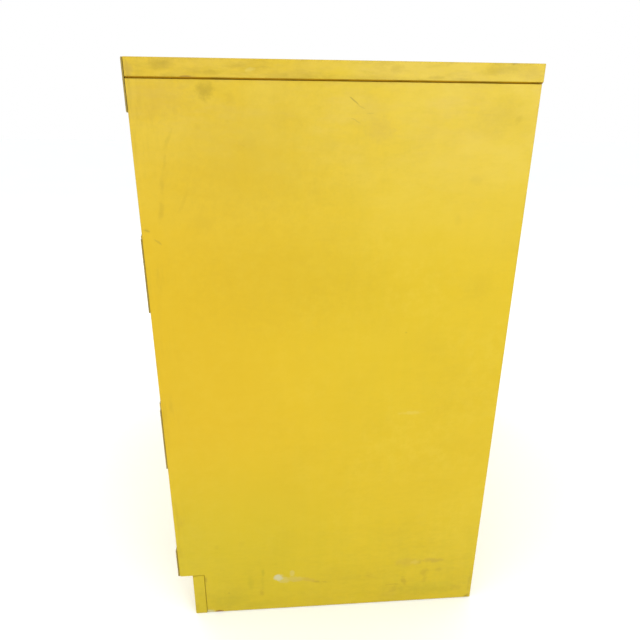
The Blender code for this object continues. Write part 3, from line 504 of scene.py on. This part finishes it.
def enamel_colour(paint, grime=1.0):
    """Yellow enamel: slow drifts of tone, brush strokes, a mottle, dirt where hands and feet reach, and painted
    shade between parts and in inside corners.
    """
    colour = paint.blend(paint.range(paint.noise(2.6, 2.0), 0.30, 0.70), YELLOW_DEEP, YELLOW)
    mottle = paint.product(
        paint.range(paint.noise(75.0, 4.0, 0.65), 0.38, 0.70),
        paint.range(paint.noise(7.0, 3.0, shift=4.0), 0.35, 0.65, 0.05, 0.30),
    )
    colour = paint.blend(mottle, colour, YELLOW_PALE)
    reached = paint.most(
        paint.range(paint.z, 0.68, 0.90, 0.30, 1.0),
        paint.range(paint.z, 0.24, 0.04, 0.30, 0.80),
    )
    lying = paint.range(paint.noise(75.0, 5.0, 0.62, (0.07, 0.07, 1.0)), 0.36, 0.66)
    hanging = paint.range(paint.noise(75.0, 5.0, 0.62, (1.0, 1.0, 0.07), 2.0), 0.38, 0.68)
    colour = paint.blend(paint.product(lying, reached, 0.20), colour, YELLOW_PALE)
    colour = paint.blend(paint.product(hanging, reached, 0.22), colour, OLIVE)
    film = paint.product(
        paint.range(paint.noise(11.0, 8.0, 0.70, shift=5.0), 0.44, 0.74),
        paint.range(paint.noise(110.0, 3.0), 0.20, 0.70, 0.4, 1.0),
        reached,
        0.30 * grime,
    )
    colour = paint.blend(film, colour, GRIME_AND_SHADE)
    grain = paint.product(
        paint.range(paint.noise(170.0, 4.0, 0.70, (0.35, 0.35, 1.0), 11.0), 0.40, 0.68),
        paint.range(paint.noise(5.0, 2.0, shift=12.0), 0.35, 0.60, 0.3, 1.0),
        reached,
        0.20,
    )
    colour = paint.blend(grain, colour, GRIME_AND_SHADE)
    specks = paint.product(
        paint.range(paint.cells(190.0)["Distance"], 0.11, 0.05),
        paint.range(paint.noise(15.0, 2.0, shift=8.0), 0.60, 0.72),
        0.30 * grime,
    )
    colour = paint.blend(specks, colour, SCUFF)
    # Darker deep between parts and in inside corners: painted shade.
    gap_shade = paint.product(paint.crevice(0.006), paint.range(paint.noise(60.0, 3.0), 0.2, 0.6, 0.5, 0.9))
    return paint.blend(gap_shade, colour, GRIME_AND_SHADE)


def painted_shade_and_sheen(paint, colour):
    """Darker and greener towards the floor, soonest at the front, as painted shade; paler and bluer towards the
    top and the back as a painted sheen; and bluish tan wisps towards the top.
    """
    behind = paint.range(paint.y, FRONT_Y + 0.05, FRONT_Y + 0.42)
    # Darker and greener low down, soonest at the front: painted shade.
    near = paint.range(paint.z, 0.42, 0.10, 0.0, 0.50)
    far = paint.range(paint.z, 0.34, 0.00, 0.0, 0.36)
    low = paint.range(behind, 0.0, 1.0, near, far)
    colour = paint.blend(low, colour, OLIVE)
    # Paler and bluer towards the top and the back: a painted sheen.
    top_sheen = paint.product(
        paint.range(paint.z, 0.60, 0.89),
        paint.range(behind, 0.0, 1.0, 0.50, 0.76),
        paint.range(paint.noise(15.0, 7.0, 0.70, (0.5, 0.5, 1.0), 13.0), 0.36, 0.64, 0.60, 1.30),
    )
    colour = paint.blend(top_sheen, colour, PAINTED_SHEEN)
    # Bluish tan wisps towards the top.
    wisps = paint.product(
        paint.range(paint.noise(36.0, 8.0, 0.74, (0.25, 0.25, 1.0), 15.0), 0.44, 0.66),
        paint.range(paint.z, 0.74, 0.89),
        0.26,
    )
    return paint.blend(wisps, colour, BLUISH_TAN)


def enamel_relief(paint, *hurts):
    """Orange peel, brush drag and the slight waves of the board under the paint, and any damage."""
    peel = paint.noise(620.0, 2.0)
    drag = paint.noise(60.0, 5.0, 0.6, (0.08, 0.08, 1.0))
    swell = paint.noise(6.0, 2.0, shift=2.0)
    paint.bumps((swell, 0.25, 0.004), (drag, 0.30, 0.0006), (peel, 0.25, 0.00012), *hurts)


def enamel_gloss(paint):
    return paint.range(paint.noise(21.0, 4.0, shift=4.0), 0.25, 0.75, 0.34, 0.52)


def rubbed_and_highlit_edges(paint, colour, under, radius, strength):
    """Paint worn through along the sharp edges, in patches, grubby beside them, and paler along them as a painted
    highlight.

    Gives the colour and the bare share.
    """
    beside = paint.edge(0.007, 0.005, 0.20)
    smears = paint.range(paint.noise(46.0, 6.0, 0.70, shift=6.0), 0.44, 0.66, 0.0, 0.40)
    colour = paint.blend(paint.product(beside, smears), colour, GRIME_AND_SHADE)
    edge = paint.edge(radius)
    patches = paint.range(paint.noise(31.0, 5.0, 0.66, shift=1.0), 0.54, 0.66)
    bare = paint.product(edge, patches, strength)
    # Paler along the sharp edges: a painted highlight.
    colour = paint.blend(paint.product(edge, 0.20), colour, YELLOW_PALE)
    return paint.blend(bare, colour, under), bare


def finish_enamel(paint, colour, bare):
    """Where the paint is gone, the surface lies lower and is duller."""
    rough = paint.range(bare, 0.0, 0.6, enamel_gloss(paint), 0.78)
    enamel_relief(paint, (bare, -0.5, 0.0004))
    return paint.finish(colour, rough, specular=0.26)


def enamel(name, under=BARE_WOOD, radius=0.0016, strength=0.6, grime=1.0, faces=()):
    """Paint with painted shade low down and a painted sheen high up, worn edges with a painted highlight along
    them, and the marks of some faces.
    """
    paint = Surface(name)
    colour = painted_shade_and_sheen(paint, enamel_colour(paint, grime))
    colour, bare = rubbed_and_highlit_edges(paint, colour, under, radius, strength)
    if faces:
        colour, hurt = marked(paint, colour, *faces)
        bare = paint.most(bare, hurt)
    return finish_enamel(paint, colour, bare)


def marked_side_enamel():
    """The paint of the right side and of the top, warmer towards the front as painted warm light, paler on upward
    faces as a painted sheen, with their marks, and painted shade with dirt in the slot.
    """
    paint = Surface("marked_side_enamel")
    # Warmer towards the front above the lowest part: painted warm light.
    painted_warm_light = paint.product(
        paint.range(paint.y, FRONT_Y + 0.38, FRONT_Y + 0.05, 0.0, 0.60),
        paint.range(paint.z, 0.12, 0.42),
    )
    colour = painted_shade_and_sheen(paint, paint.blend(painted_warm_light, enamel_colour(paint), YELLOW_WARM))
    band = paint.product(
        paint.range(paint.z, SIDE_TOP - 0.004, REVEAL_TOP),
        paint.range(paint.noise(40.0, 7.0, 0.72, (0.22, 0.22, 1.0), 7.0), 0.42, 0.70, 0.0, 0.42),
    )
    colour = paint.blend(band, colour, GRIME_AND_SHADE)
    streaks = paint.product(
        paint.range(paint.y, FRONT_Y + 0.045, FRONT_Y),
        paint.range(paint.noise(110.0, 6.0, 0.70, (1.0, 1.0, 0.12), 9.0), 0.44, 0.70, 0.0, 0.30),
        paint.range(paint.noise(9.0, 2.0, shift=1.5), 0.40, 0.62),
    )
    colour = paint.blend(streaks, colour, GRIME_AND_SHADE)
    # Paler on upward faces: a painted sheen.
    upward = paint.range(paint.axes(paint.facing)["Z"], 0.5, 0.9, 0.0, 0.40)
    colour = paint.blend(upward, colour, PAINTED_SHEEN)
    colour, bare = rubbed_and_highlit_edges(paint, colour, BARE_WOOD, 0.0014, 0.35)
    colour, hurt = marked(paint, colour, "right", "top")
    colour = ringed(paint, colour, TOP_RINGS, TOP_Z)
    # Dark brown in the slot under the top: painted shade, with some dirt.
    slot = paint.product(
        paint.range(paint.z, SIDE_TOP - 0.0003, SIDE_TOP + 0.0003),
        paint.range(paint.z, REVEAL_TOP + 0.0004, REVEAL_TOP - 0.0002),
        0.94,
    )
    slot_shade_and_dirt = paint.blend(paint.range(paint.noise(24.0, 3.0), 0.45, 0.70), GROOVE_BROWN, GROOVE_DARK)
    colour = paint.blend(slot, colour, slot_shade_and_dirt)
    return finish_enamel(paint, colour, paint.most(bare, hurt))


def shelf_enamel():
    """Paint with the rings and drips of the cans that stood on it."""
    paint = Surface("shelf_enamel")
    colour, bare = rubbed_and_highlit_edges(paint, enamel_colour(paint, 1.6), BARE_WOOD, 0.0016, 0.8)
    colour = ringed(paint, colour, SHELF_RINGS, SHELF_TOP)
    return finish_enamel(paint, colour, bare)


def plate_paint():
    """Paint on steel plate: dirty on its face, worn to brown metal round its thin edges, and dark on its thin side
    faces as bare steel with painted shade.
    """
    paint = Surface("worn_plate_paint")
    colour = enamel_colour(paint, 2.0)
    # The thin side faces go dark brown steel: bare worn edges, and painted shade there too.
    aside = paint.range(paint.maths("ABSOLUTE", paint.axes(paint.facing)["Y"], 0.0), 0.75, 0.45)
    edge = paint.edge(0.0018, 0.005, 0.16)
    patches = paint.range(paint.noise(85.0, 6.0, 0.70), 0.35, 0.60, 0.20, 0.95)
    worn = paint.range(paint.noise(55.0, 6.0, 0.72, shift=14.0), 0.58, 0.66, 0.0, 0.75)
    bare = paint.most(paint.product(edge, patches), paint.product(aside, 0.64), worn)
    colour = paint.blend(bare, colour, BARE_STEEL)
    rough = paint.range(bare, 0.0, 0.6, enamel_gloss(paint), 0.55)
    metal = paint.range(bare, 0.5, 1.0, 0.0, 0.5)
    enamel_relief(paint, (bare, -0.5, 0.0003))
    return paint.finish(colour, rough, metal, specular=0.35)


# ---------------------------------------------------------------- metals


def plated(name, light, dark, rough_low, rough_high, grain_depth=0.25):
    """Bare or plated metal, with a fine grain, stains, small scratches, and painted shade in its corners."""
    steel = Surface(name)
    stain = steel.range(steel.noise(26.0, 5.0, 0.6), 0.42, 0.75)
    colour = steel.blend(stain, light, dark)
    grain = steel.noise(400.0, 3.0)
    scratch = steel.product(
        steel.range(steel.cells(70.0, "DISTANCE_TO_EDGE")["Distance"], 0.012, 0.0),
        steel.range(steel.noise(40.0), 0.50, 0.70),
    )
    # Darker along the small scratches, and darker in corners as painted shade.
    dirt = steel.most(steel.product(scratch, 0.35), steel.product(steel.crevice(0.003), 0.6))
    colour = steel.blend(dirt, colour, dark)
    rough = steel.range(steel.total(stain, grain), 0.3, 1.4, rough_low, rough_high)
    steel.bumps((grain, grain_depth, 0.00008), (scratch, -0.3, 0.0001))
    return steel.finish(colour, rough, 1.0)


def galvanised():
    """Zinc with its spangle of flat crystals, and dried spills on the bottom."""
    zinc = Surface("galvanised_pan")
    tone = zinc.node("ShaderNodeSeparateColor")
    zinc.feed(tone.inputs[0], zinc.cells(95.0)["Color"])
    flake = tone.outputs[0]
    colour = zinc.blend(flake, (0.36, 0.38, 0.39), (0.56, 0.58, 0.60))
    dull = zinc.range(zinc.noise(9.0, 6.0, 0.65), 0.50, 0.75, 0.0, 0.5)
    colour = zinc.blend(dull, colour, (0.25, 0.22, 0.17))
    on_bottom = zinc.range(zinc.z, PAN_LOW + 0.010, PAN_LOW + 0.004)
    spill = zinc.range(zinc.noise(6.5, 4.0, 0.6, shift=3.0), 0.56, 0.60, 0.0, 0.55)
    colour = zinc.blend(zinc.product(spill, on_bottom), colour, (0.16, 0.085, 0.030))
    rough = zinc.range(flake, 0.0, 1.0, 0.32, 0.52)
    zinc.bumps((flake, 0.12, 0.0002), (zinc.noise(300.0, 2.0), 0.12, 0.0001))
    return zinc.finish(colour, rough, 0.9)


MATERIALS = {
    "yellow_enamel": enamel("yellow_enamel"),
    "marked_side_enamel": marked_side_enamel(),
    "left_side_enamel": enamel("left_side_enamel", faces=("left",)),
    "front_enamel": enamel("front_enamel", radius=0.0020, strength=0.75, faces=("front",)),
    "toe_enamel": enamel("toe_enamel", radius=0.0020, strength=0.75, faces=("toe",)),
    "back_enamel": enamel("back_enamel", faces=("back",)),
    "shelf_enamel": shelf_enamel(),
    "worn_plate_paint": plate_paint(),
    "painted_vent_cap": enamel("painted_vent_cap", BARE_STEEL, 0.0012, 0.8, 1.4),
    "zinc_steel": plated("zinc_steel", (0.50, 0.51, 0.52), (0.26, 0.25, 0.22), 0.28, 0.50),
    "galvanised_pan": galvanised(),
    "chrome": plated("chrome", (0.56, 0.56, 0.57), (0.34, 0.33, 0.31), 0.14, 0.30, 0.08),
    "brass": plated("brass", (0.66, 0.45, 0.17), (0.30, 0.19, 0.08), 0.25, 0.48),
}
# Nodes whose paint differs from the rest of their slot
OWN_PAINT = {
    "right_side_panel": "marked_side_enamel",
    "top_panel": "marked_side_enamel",
    "toe_board": "toe_enamel",
    "left_side_panel": "left_side_enamel",
    "back_panel": "back_enamel",
    "right_door": "front_enamel",
    "left_door": "front_enamel",
    "shelf": "shelf_enamel",
}


# ---------------------------------------------------------------- mesh tools

METAL_ROUNDING = 0.0002
WELD_REACH = 0.00001
FLAT_ANGLE = math.radians(0.5)
ROUNDED_ANGLE = math.radians(40)
SHARP_ANGLE = math.radians(60)
SCREW_SHARP_ANGLE = math.radians(35)
DOME_STEPS = 5
TURN_STEPS = 24
# Of a screw's cross recess: how long, wide and high its cutters are, in radii and domes
CROSS_LENGTH = 1.15
CROSS_WIDTH = 0.30
CROSS_HEIGHT = 1.6
CROSS_RISE = 1.1


def dress_cad():
    """Gives each CAD node its material, smooth shading and finely rounded edges."""
    slots = {part["node"]: part["material_slot"] for part in frame["record"]["subparts"]}
    for name, node in NODES.items():
        node.data.materials.clear()
        node.data.materials.append(MATERIALS[OWN_PAINT.get(name, slots[name])])
        smooth(node, 0.0 if slots[name] in ("yellow_enamel", "brass") else METAL_ROUNDING)


def smooth(obj, rounding):
    """Welds the mesh, rounds its sharp edges and shades it by face area."""
    mesh = obj.data
    mesh.normals_split_custom_set([(0, 0, 0)] * len(mesh.loops))
    mesh.polygons.foreach_set("use_smooth", [True] * len(mesh.polygons))
    weld = obj.modifiers.new("weld", "WELD")
    weld.merge_threshold = WELD_REACH
    flat = obj.modifiers.new("merge_flats", "DECIMATE")
    flat.decimate_type = "DISSOLVE"
    flat.angle_limit = FLAT_ANGLE
    if rounding:
        bevel = obj.modifiers.new("edges", "BEVEL")
        bevel.width = rounding
        bevel.segments = 2
        bevel.limit_method = "ANGLE"
        bevel.angle_limit = ROUNDED_ANGLE
    else:
        split = obj.modifiers.new("corners", "EDGE_SPLIT")
        split.split_angle = SHARP_ANGLE
    shade = obj.modifiers.new("shade", "WEIGHTED_NORMAL")
    shade.weight = 100
    shade.keep_sharp = True


def in_scene(name, data):
    made = bpy.data.objects.new(name, data)
    bpy.context.scene.collection.objects.link(made)
    return made


def piece(name, mesh, at, facing, body):
    """A small mesh modelled along +Z, stood at a place with its +Z along facing."""
    obj = in_scene(name, mesh)
    turn = Vector((0, 0, 1)).rotation_difference(Vector(facing)).to_matrix().to_4x4()
    obj.matrix_world = Matrix.Translation(Vector(at)) @ turn
    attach(obj, body)
    return obj


def screw_mesh(name, material, radius, dome):
    """A low domed head with a cross recess. Its rim lies at z = 0."""
    shape = bmesh.new()
    angles = [math.pi / 2 * i / DOME_STEPS for i in range(DOME_STEPS + 1)]
    points = [(radius * math.sin(a), dome * math.cos(a)) for a in angles] + [(0, 0)]
    profile = [shape.verts.new((r, 0, z)) for r, z in points]
    for first, second in zip(profile, profile[1:]):
        shape.edges.new((first, second))
    bmesh.ops.spin(
        shape, geom=[*shape.verts, *shape.edges], axis=(0, 0, 1), cent=(0, 0, 0),
        angle=2 * math.pi, steps=TURN_STEPS, use_merge=True,
    )
    bmesh.ops.remove_doubles(shape, verts=shape.verts, dist=WELD_REACH / 10)
    bmesh.ops.recalc_face_normals(shape, faces=shape.faces)
    mesh = bpy.data.meshes.new(name)
    shape.to_mesh(mesh)
    shape.free()
    head = in_scene(name, mesh)
    arm, wide = radius * CROSS_LENGTH, radius * CROSS_WIDTH
    for i, size in enumerate(((arm, wide), (wide, arm))):
        box = bmesh.new()
        bmesh.ops.create_cube(box, size=1)
        bmesh.ops.scale(box, vec=(*size, dome * CROSS_HEIGHT), verts=box.verts)
        bmesh.ops.translate(box, vec=(0, 0, dome * CROSS_RISE), verts=box.verts)
        blade = bpy.data.meshes.new("slot")
        box.to_mesh(blade)
        box.free()
        modifier = head.modifiers.new(f"slot_{i}", "BOOLEAN")
        modifier.operation = "DIFFERENCE"
        modifier.object = in_scene(f"slot_{i}", blade)
    graph = bpy.context.evaluated_depsgraph_get()
    made = bpy.data.meshes.new_from_object(head.evaluated_get(graph))
    for extra in [*(m.object for m in head.modifiers), head]:
        bpy.data.objects.remove(extra, do_unlink=True)
    made.shade_smooth()
    made.set_sharp_from_angle(angle=SCREW_SHARP_ANGLE)
    made.materials.append(MATERIALS[material])
    return made


# ---------------------------------------------------------------- screws

PLATE_SCREW = screw_mesh("plate_screw", "worn_plate_paint", 0.0041, 0.0008)
STRAP_SCREW = screw_mesh("strap_screw", "zinc_steel", 0.0030, 0.0009)
BOARD_SCREW = screw_mesh("board_screw", "painted_vent_cap", 0.0044, 0.0004)
VENT_SCREW = screw_mesh("vent_screw", "zinc_steel", 0.0021, 0.0006)

# Where the screws stand: from a hinge's pin and its middle, and from a brace's ends and its outer edge
LEAF_SCREW_OUT = 0.0155
LEAF_SCREW_SPREAD = 0.0428
BRACE_SCREWS = (0.008, 0.025)
BRACE_SCREW_IN = 0.0116
# As shares of a strap's width, of a bolt case's height and of a keeper's length
STRAP_SCREW_OUT = 0.36
CASE_SCREW_SPREAD = 0.33
KEEPER_SCREWS = (0.42, 0.80)
STANDARD_SLOT_PITCH = 0.032
VENT_SCREW_INSET = 0.003
VENT_SCREWS = 4
BACK_SCREW_INSET = 0.016
BACK_SCREWS = 5
BACK_SCREW_SHARES = (0.08, 0.96)
# How thick the sheet of the straps and keepers is
SHEET = 0.002


def hinge_screws():
    """Three in each leaf, over the leaf's holes."""
    for side, sign in SIDES.items():
        axis_x = JOINTS[f"{side}_door_hinge"]["pos_m"][0]
        for level in LEVELS:
            for leaf, way, body in (("frame", sign, "cabinet"), ("door", -sign, f"{side}_door")):
                low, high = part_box(f"{level}_{side}_{leaf}_leaf")
                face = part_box(f"{level}_{side}_corner_brace")[0].y
                for i in (-1, 0, 1):
                    z = (low.z + high.z) / 2 + i * LEAF_SCREW_SPREAD
                    name = f"{level}_{side}_{leaf}_leaf_screw_{i + 2}"
                    at = (axis_x + way * LEAF_SCREW_OUT, face, z)
                    piece(name, PLATE_SCREW, at, (0, -1, 0), body)


def brace_screws():
    """Two in each leg of each corner brace, over its holes."""
    for level, corner_z, inward in (("upper", "high", -1), ("lower", "low", 1)):
        for side, sign in SIDES.items():
            low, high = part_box(f"{level}_{side}_corner_brace")
            leg = high.x - low.x
            corner = high.z if corner_z == "high" else low.z
            spots = [(leg - inset, BRACE_SCREW_IN) for inset in BRACE_SCREWS]
            spots += [(down, across) for across, down in spots]
            for i, (across, down) in enumerate(spots):
                at = (sign * (SIDE_X - across), low.y, corner + inward * down)
                name = f"{level}_{side}_brace_screw_{i + 1}"
                piece(name, PLATE_SCREW, at, (0, -1, 0), "cabinet")


def strap_screws():
    """One in each ear of the rod guides, and two in each ear of the bolt cases."""
    straps = [(f"{level}_rod_guide", "right_door", (0.0,)) for level in LEVELS]
    spreads = (-CASE_SCREW_SPREAD, CASE_SCREW_SPREAD)
    straps += [(f"{level}_bolt_case", "left_door", spreads) for level in LEVELS]
    for node, body, spreads in straps:
        low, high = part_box(node)
        middle = (low + high) / 2
        across = STRAP_SCREW_OUT * (high.x - low.x)
        for ear, way in (("left", -1), ("right", 1)):
            for i, spread in enumerate(spreads):
                at = (middle.x + way * across, low.y + SHEET, middle.z + spread * (high.z - low.z))
                piece(f"{node}_{ear}_screw_{i + 1}", STRAP_SCREW, at, (0, 1, 0), body)


def keeper_screws():
    """Two in each keeper's plate."""
    for level, facing in (("upper", -1), ("lower", 1)):
        for side in SIDES:
            low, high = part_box(f"{level}_{side}_keeper")
            face = high.z - SHEET if level == "upper" else low.z + SHEET
            for i, share in enumerate(KEEPER_SCREWS):
                at = ((low.x + high.x) / 2, low.y + share * (high.y - low.y), face)
                name = f"{level}_{side}_keeper_screw_{i + 1}"
                piece(name, STRAP_SCREW, at, (0, 0, facing), "cabinet")


def standard_screws():
    """Three in each slotted strip, each between two slots."""
    for place in ("front", "back"):
        for side, sign in SIDES.items():
            low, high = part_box(f"{place}_{side}_standard")
            face = low.x if sign > 0 else high.x
            count = round((high.z - low.z) / STANDARD_SLOT_PITCH)
            for i, step in enumerate((1, count // 2, count - 1)):
                at = (face, (low.y + high.y) / 2, low.z + step * STANDARD_SLOT_PITCH)
                name = f"{place}_{side}_standard_screw_{i + 1}"
                piece(name, STRAP_SCREW, at, (-sign, 0, 0), "cabinet")


def vent_screws():
    """Four round each collar's flange, between the cap and its rim."""
    for level in LEVELS:
        low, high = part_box(f"{level}_vent_collar")
        middle = (low + high) / 2
        radius = (high.x - low.x) / 2 - VENT_SCREW_INSET
        for i in range(VENT_SCREWS):
            angle = 2 * math.pi * (i + 0.5) / VENT_SCREWS
            at = (middle.x + radius * math.cos(angle), high.y, middle.z + radius * math.sin(angle))
            piece(f"{level}_vent_screw_{i + 1}", VENT_SCREW, at, (0, 1, 0), "cabinet")


def back_screws():
    """A row down each edge of the back panel, into the frame behind it."""
    low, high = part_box("back_panel")
    first, last = (low.z + share * (high.z - low.z) for share in BACK_SCREW_SHARES)
    for side, x in (("left", low.x + BACK_SCREW_INSET), ("right", high.x - BACK_SCREW_INSET)):
        for i in range(BACK_SCREWS):
            at = (x, high.y, first + (last - first) * i / (BACK_SCREWS - 1))
            piece(f"back_{side}_screw_{i + 1}", BOARD_SCREW, at, (0, 1, 0), "cabinet")


# ---------------------------------------------------------------- pan rim and flame screens

RIM_WIRE = 0.0021
RIM_INSET = 0.0012
RIM_CORNER = 0.006
RIM_CORNER_STEPS = 4
SCREEN_WIRE = 0.00022
SCREEN_PITCH = 0.0016
SCREEN_INSET = 0.0008
SCREEN_RING_STEPS = 32
SCREEN_RING_THICKNESS = 3.2


def wire(name, radius, resolution, material):
    """An empty curve with a round section, ready for its splines."""
    curve = bpy.data.curves.new(name, "CURVE")
    curve.dimensions = "3D"
    curve.bevel_depth = radius
    curve.bevel_resolution = resolution
    curve.use_fill_caps = True
    curve.materials.append(MATERIALS[material])
    return curve


def route(curve, points, closed=False, thickness=1.0):
    """Runs the wire through some points, at a thickness that is a multiple of its own."""
    spline = curve.splines.new("POLY")
    spline.points.add(len(points) - 1)
    for place, point in zip(spline.points, points):
        place.co = (*point, 1)
        place.radius = thickness
    spline.use_cyclic_u = closed


def pan_rim():
    """The pan's sheet is rolled over a wire along its top."""
    low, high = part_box("spill_pan")
    curve = wire("pan_rim", RIM_WIRE, 2, "galvanised_pan")
    inset = RIM_CORNER + RIM_INSET
    half = Vector((high.x - low.x, high.y - low.y)) / 2 - Vector((inset, inset))
    middle = (low + high) / 2
    points = []
    for quarter, (along, across) in enumerate(((1, 1), (-1, 1), (-1, -1), (1, -1))):
        for i in range(RIM_CORNER_STEPS + 1):
            a = math.pi / 2 * (quarter + i / RIM_CORNER_STEPS)
            x = middle.x + along * half.x + RIM_CORNER * math.cos(a)
            y = middle.y + across * half.y + RIM_CORNER * math.sin(a)
            points.append((x, y, high.z - RIM_WIRE))
    route(curve, points, True)
    rim = in_scene("pan_rim", curve)
    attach(rim, "cabinet")


def flame_screens():
    """Brass wire woven over and under, held in a ring."""
    for level in LEVELS:
        low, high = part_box(f"{level}_flame_screen")
        rim = (high.x - low.x) / 2 - SCREEN_INSET
        curve = wire(f"{level}_woven_screen", SCREEN_WIRE, 0, "brass")
        rows = int(rim / SCREEN_PITCH)
        for lying in (0, 1):
            for row in range(-rows, rows + 1):
                off = row * SCREEN_PITCH
                half = math.sqrt(rim * rim - off * off)
                steps = int(half / SCREEN_PITCH)
                if steps < 1:
                    continue
                points = []
                for i in range(-steps, steps + 1):
                    along = half * i / steps
                    over = SCREEN_WIRE * (1 if (i + row + lying) % 2 else -1)
                    points.append((off, over, along) if lying else (along, over, off))
                route(curve, points)
        turns = [2 * math.pi * i / SCREEN_RING_STEPS for i in range(SCREEN_RING_STEPS)]
        ring = [(rim * math.cos(a), 0, rim * math.sin(a)) for a in turns]
        route(curve, ring, True, SCREEN_RING_THICKNESS)
        screen = in_scene(f"{level}_woven_screen", curve)
        screen.location = (low + high) / 2
        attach(screen, "cabinet")
        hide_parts(f"{level}_flame_screen")


# ---------------------------------------------------------------- floor, light and camera


FLOOR_HALF = 30
FLOOR_GLOW = 0.12
WHITE = (1.0, 1.0, 1.0, 1.0)
# The backdrop's light: its strength low and high, between two heights on a unit sphere
GLOW_COLOUR = (0.97, 1.0, 1.0, 1.0)
GLOW_STRENGTHS = (1.20, 0.90)
GLOW_HEIGHTS = (0.10, 0.80)
MIDDLE = (0.0, 0.0, 0.5)
# Each soft box: where it stands, what it faces, its width and height, its power in watts and its colour
SOFT_BOXES = {
    "overhead": ((0.3, 0.0, 3.2), MIDDLE, 2.6, 2.6, 18.0, (1.0, 1.0, 1.0)),
    "warm_front": ((1.9, -2.4, 1.7), MIDDLE, 1.2, 1.2, 10.0, (1.0, 0.93, 0.84)),
    "cool_rear": ((2.3, 1.25, 1.25), (SIDE_X, 0.25, 0.85), 1.2, 1.0, 15.0, (0.90, 1.0, 0.98)),
    "fill": ((-2.3, -2.1, 1.7), MIDDLE, 1.6, 1.6, 20.0, (1.0, 0.98, 0.95)),
}


def floor():
    """A wide, smooth, white floor. A faint glow of its own takes it up to the backdrop's white."""
    shape = bmesh.new()
    bmesh.ops.create_grid(shape, x_segments=1, y_segments=1, size=FLOOR_HALF)
    mesh = bpy.data.meshes.new("floor")
    shape.to_mesh(mesh)
    shape.free()
    pale = Surface("pale_floor")
    tone = pale.range(pale.noise(1.5, 3.0), 0.3, 0.7)
    colour = pale.blend(tone, (0.905, 0.910, 0.905), (0.930, 0.935, 0.930))
    pale.bumps((pale.noise(220.0, 2.0), 0.05, 0.0002))
    pale.shader.inputs["Emission Color"].default_value = WHITE
    pale.shader.inputs["Emission Strength"].default_value = FLOOR_GLOW
    mesh.materials.append(pale.finish(colour, 0.85, specular=0.1))
    in_scene("floor", mesh)


def soft_light(name, at, aim, width, height, power, colour):
    """A soft box, hidden from the camera."""
    light = bpy.data.lights.new(name, "AREA")
    light.shape = "RECTANGLE"
    light.size = width
    light.size_y = height
    light.energy = power
    light.color = colour
    lamp = in_scene(name, light)
    lamp.location = at
    lamp.rotation_euler = (Vector(aim) - Vector(at)).to_track_quat("-Z", "Y").to_euler()
    lamp.visible_camera = False


def surroundings():
    """A white backdrop. The light that it gives is strongest a little above the horizon."""
    world = bpy.data.worlds.new("studio")
    world.use_nodes = True
    nodes, links = world.node_tree.nodes, world.node_tree.links
    shown = nodes["Background"]
    shown.inputs["Color"].default_value = WHITE
    direction = nodes.new("ShaderNodeTexCoord")
    axes = nodes.new("ShaderNodeSeparateXYZ")
    links.new(direction.outputs["Generated"], axes.inputs[0])
    rise = nodes.new("ShaderNodeMapRange")
    links.new(axes.outputs["Z"], rise.inputs["Value"])
    rise.inputs["From Min"].default_value, rise.inputs["From Max"].default_value = GLOW_HEIGHTS
    rise.inputs["To Min"].default_value, rise.inputs["To Max"].default_value = GLOW_STRENGTHS
    glow = nodes.new("ShaderNodeBackground")
    glow.inputs["Color"].default_value = GLOW_COLOUR
    links.new(rise.outputs["Result"], glow.inputs["Strength"])
    path = nodes.new("ShaderNodeLightPath")
    mix = nodes.new("ShaderNodeMixShader")
    links.new(path.outputs["Is Camera Ray"], mix.inputs["Fac"])
    links.new(glow.outputs[0], mix.inputs[1])
    links.new(shown.outputs[0], mix.inputs[2])
    links.new(mix.outputs[0], nodes["World Output"].inputs["Surface"])
    bpy.context.scene.world = world


def studio():
    """Soft light from all round, with the soft boxes."""
    surroundings()
    bpy.context.scene.view_settings.view_transform = "Standard"
    for name, layout in SOFT_BOXES.items():
        soft_light(name, *layout)


def camera():
    """The camera stands where the photo was taken from."""
    lens = bpy.data.cameras.new("camera")
    lens.sensor_width = CAMERA_SENSOR
    lens.lens = CAMERA_LENS
    eye = in_scene("camera", lens)
    turns = ((CAMERA_HEADING, "Z"), (CAMERA_TILT, "X"), (CAMERA_ROLL, "Z"))
    eye.matrix_world = Matrix.Translation(Vector((SIDE_X, FRONT_Y, 0)) + CAMERA_OFFSET)
    for angle, axis in turns:
        eye.matrix_world @= Matrix.Rotation(math.radians(angle), 4, axis)
    bpy.context.scene.camera = eye


dress_cad()
hinge_screws()
brace_screws()
strap_screws()
keeper_screws()
standard_screws()
vent_screws()
back_screws()
pan_rim()
flame_screens()
floor()
studio()
camera()
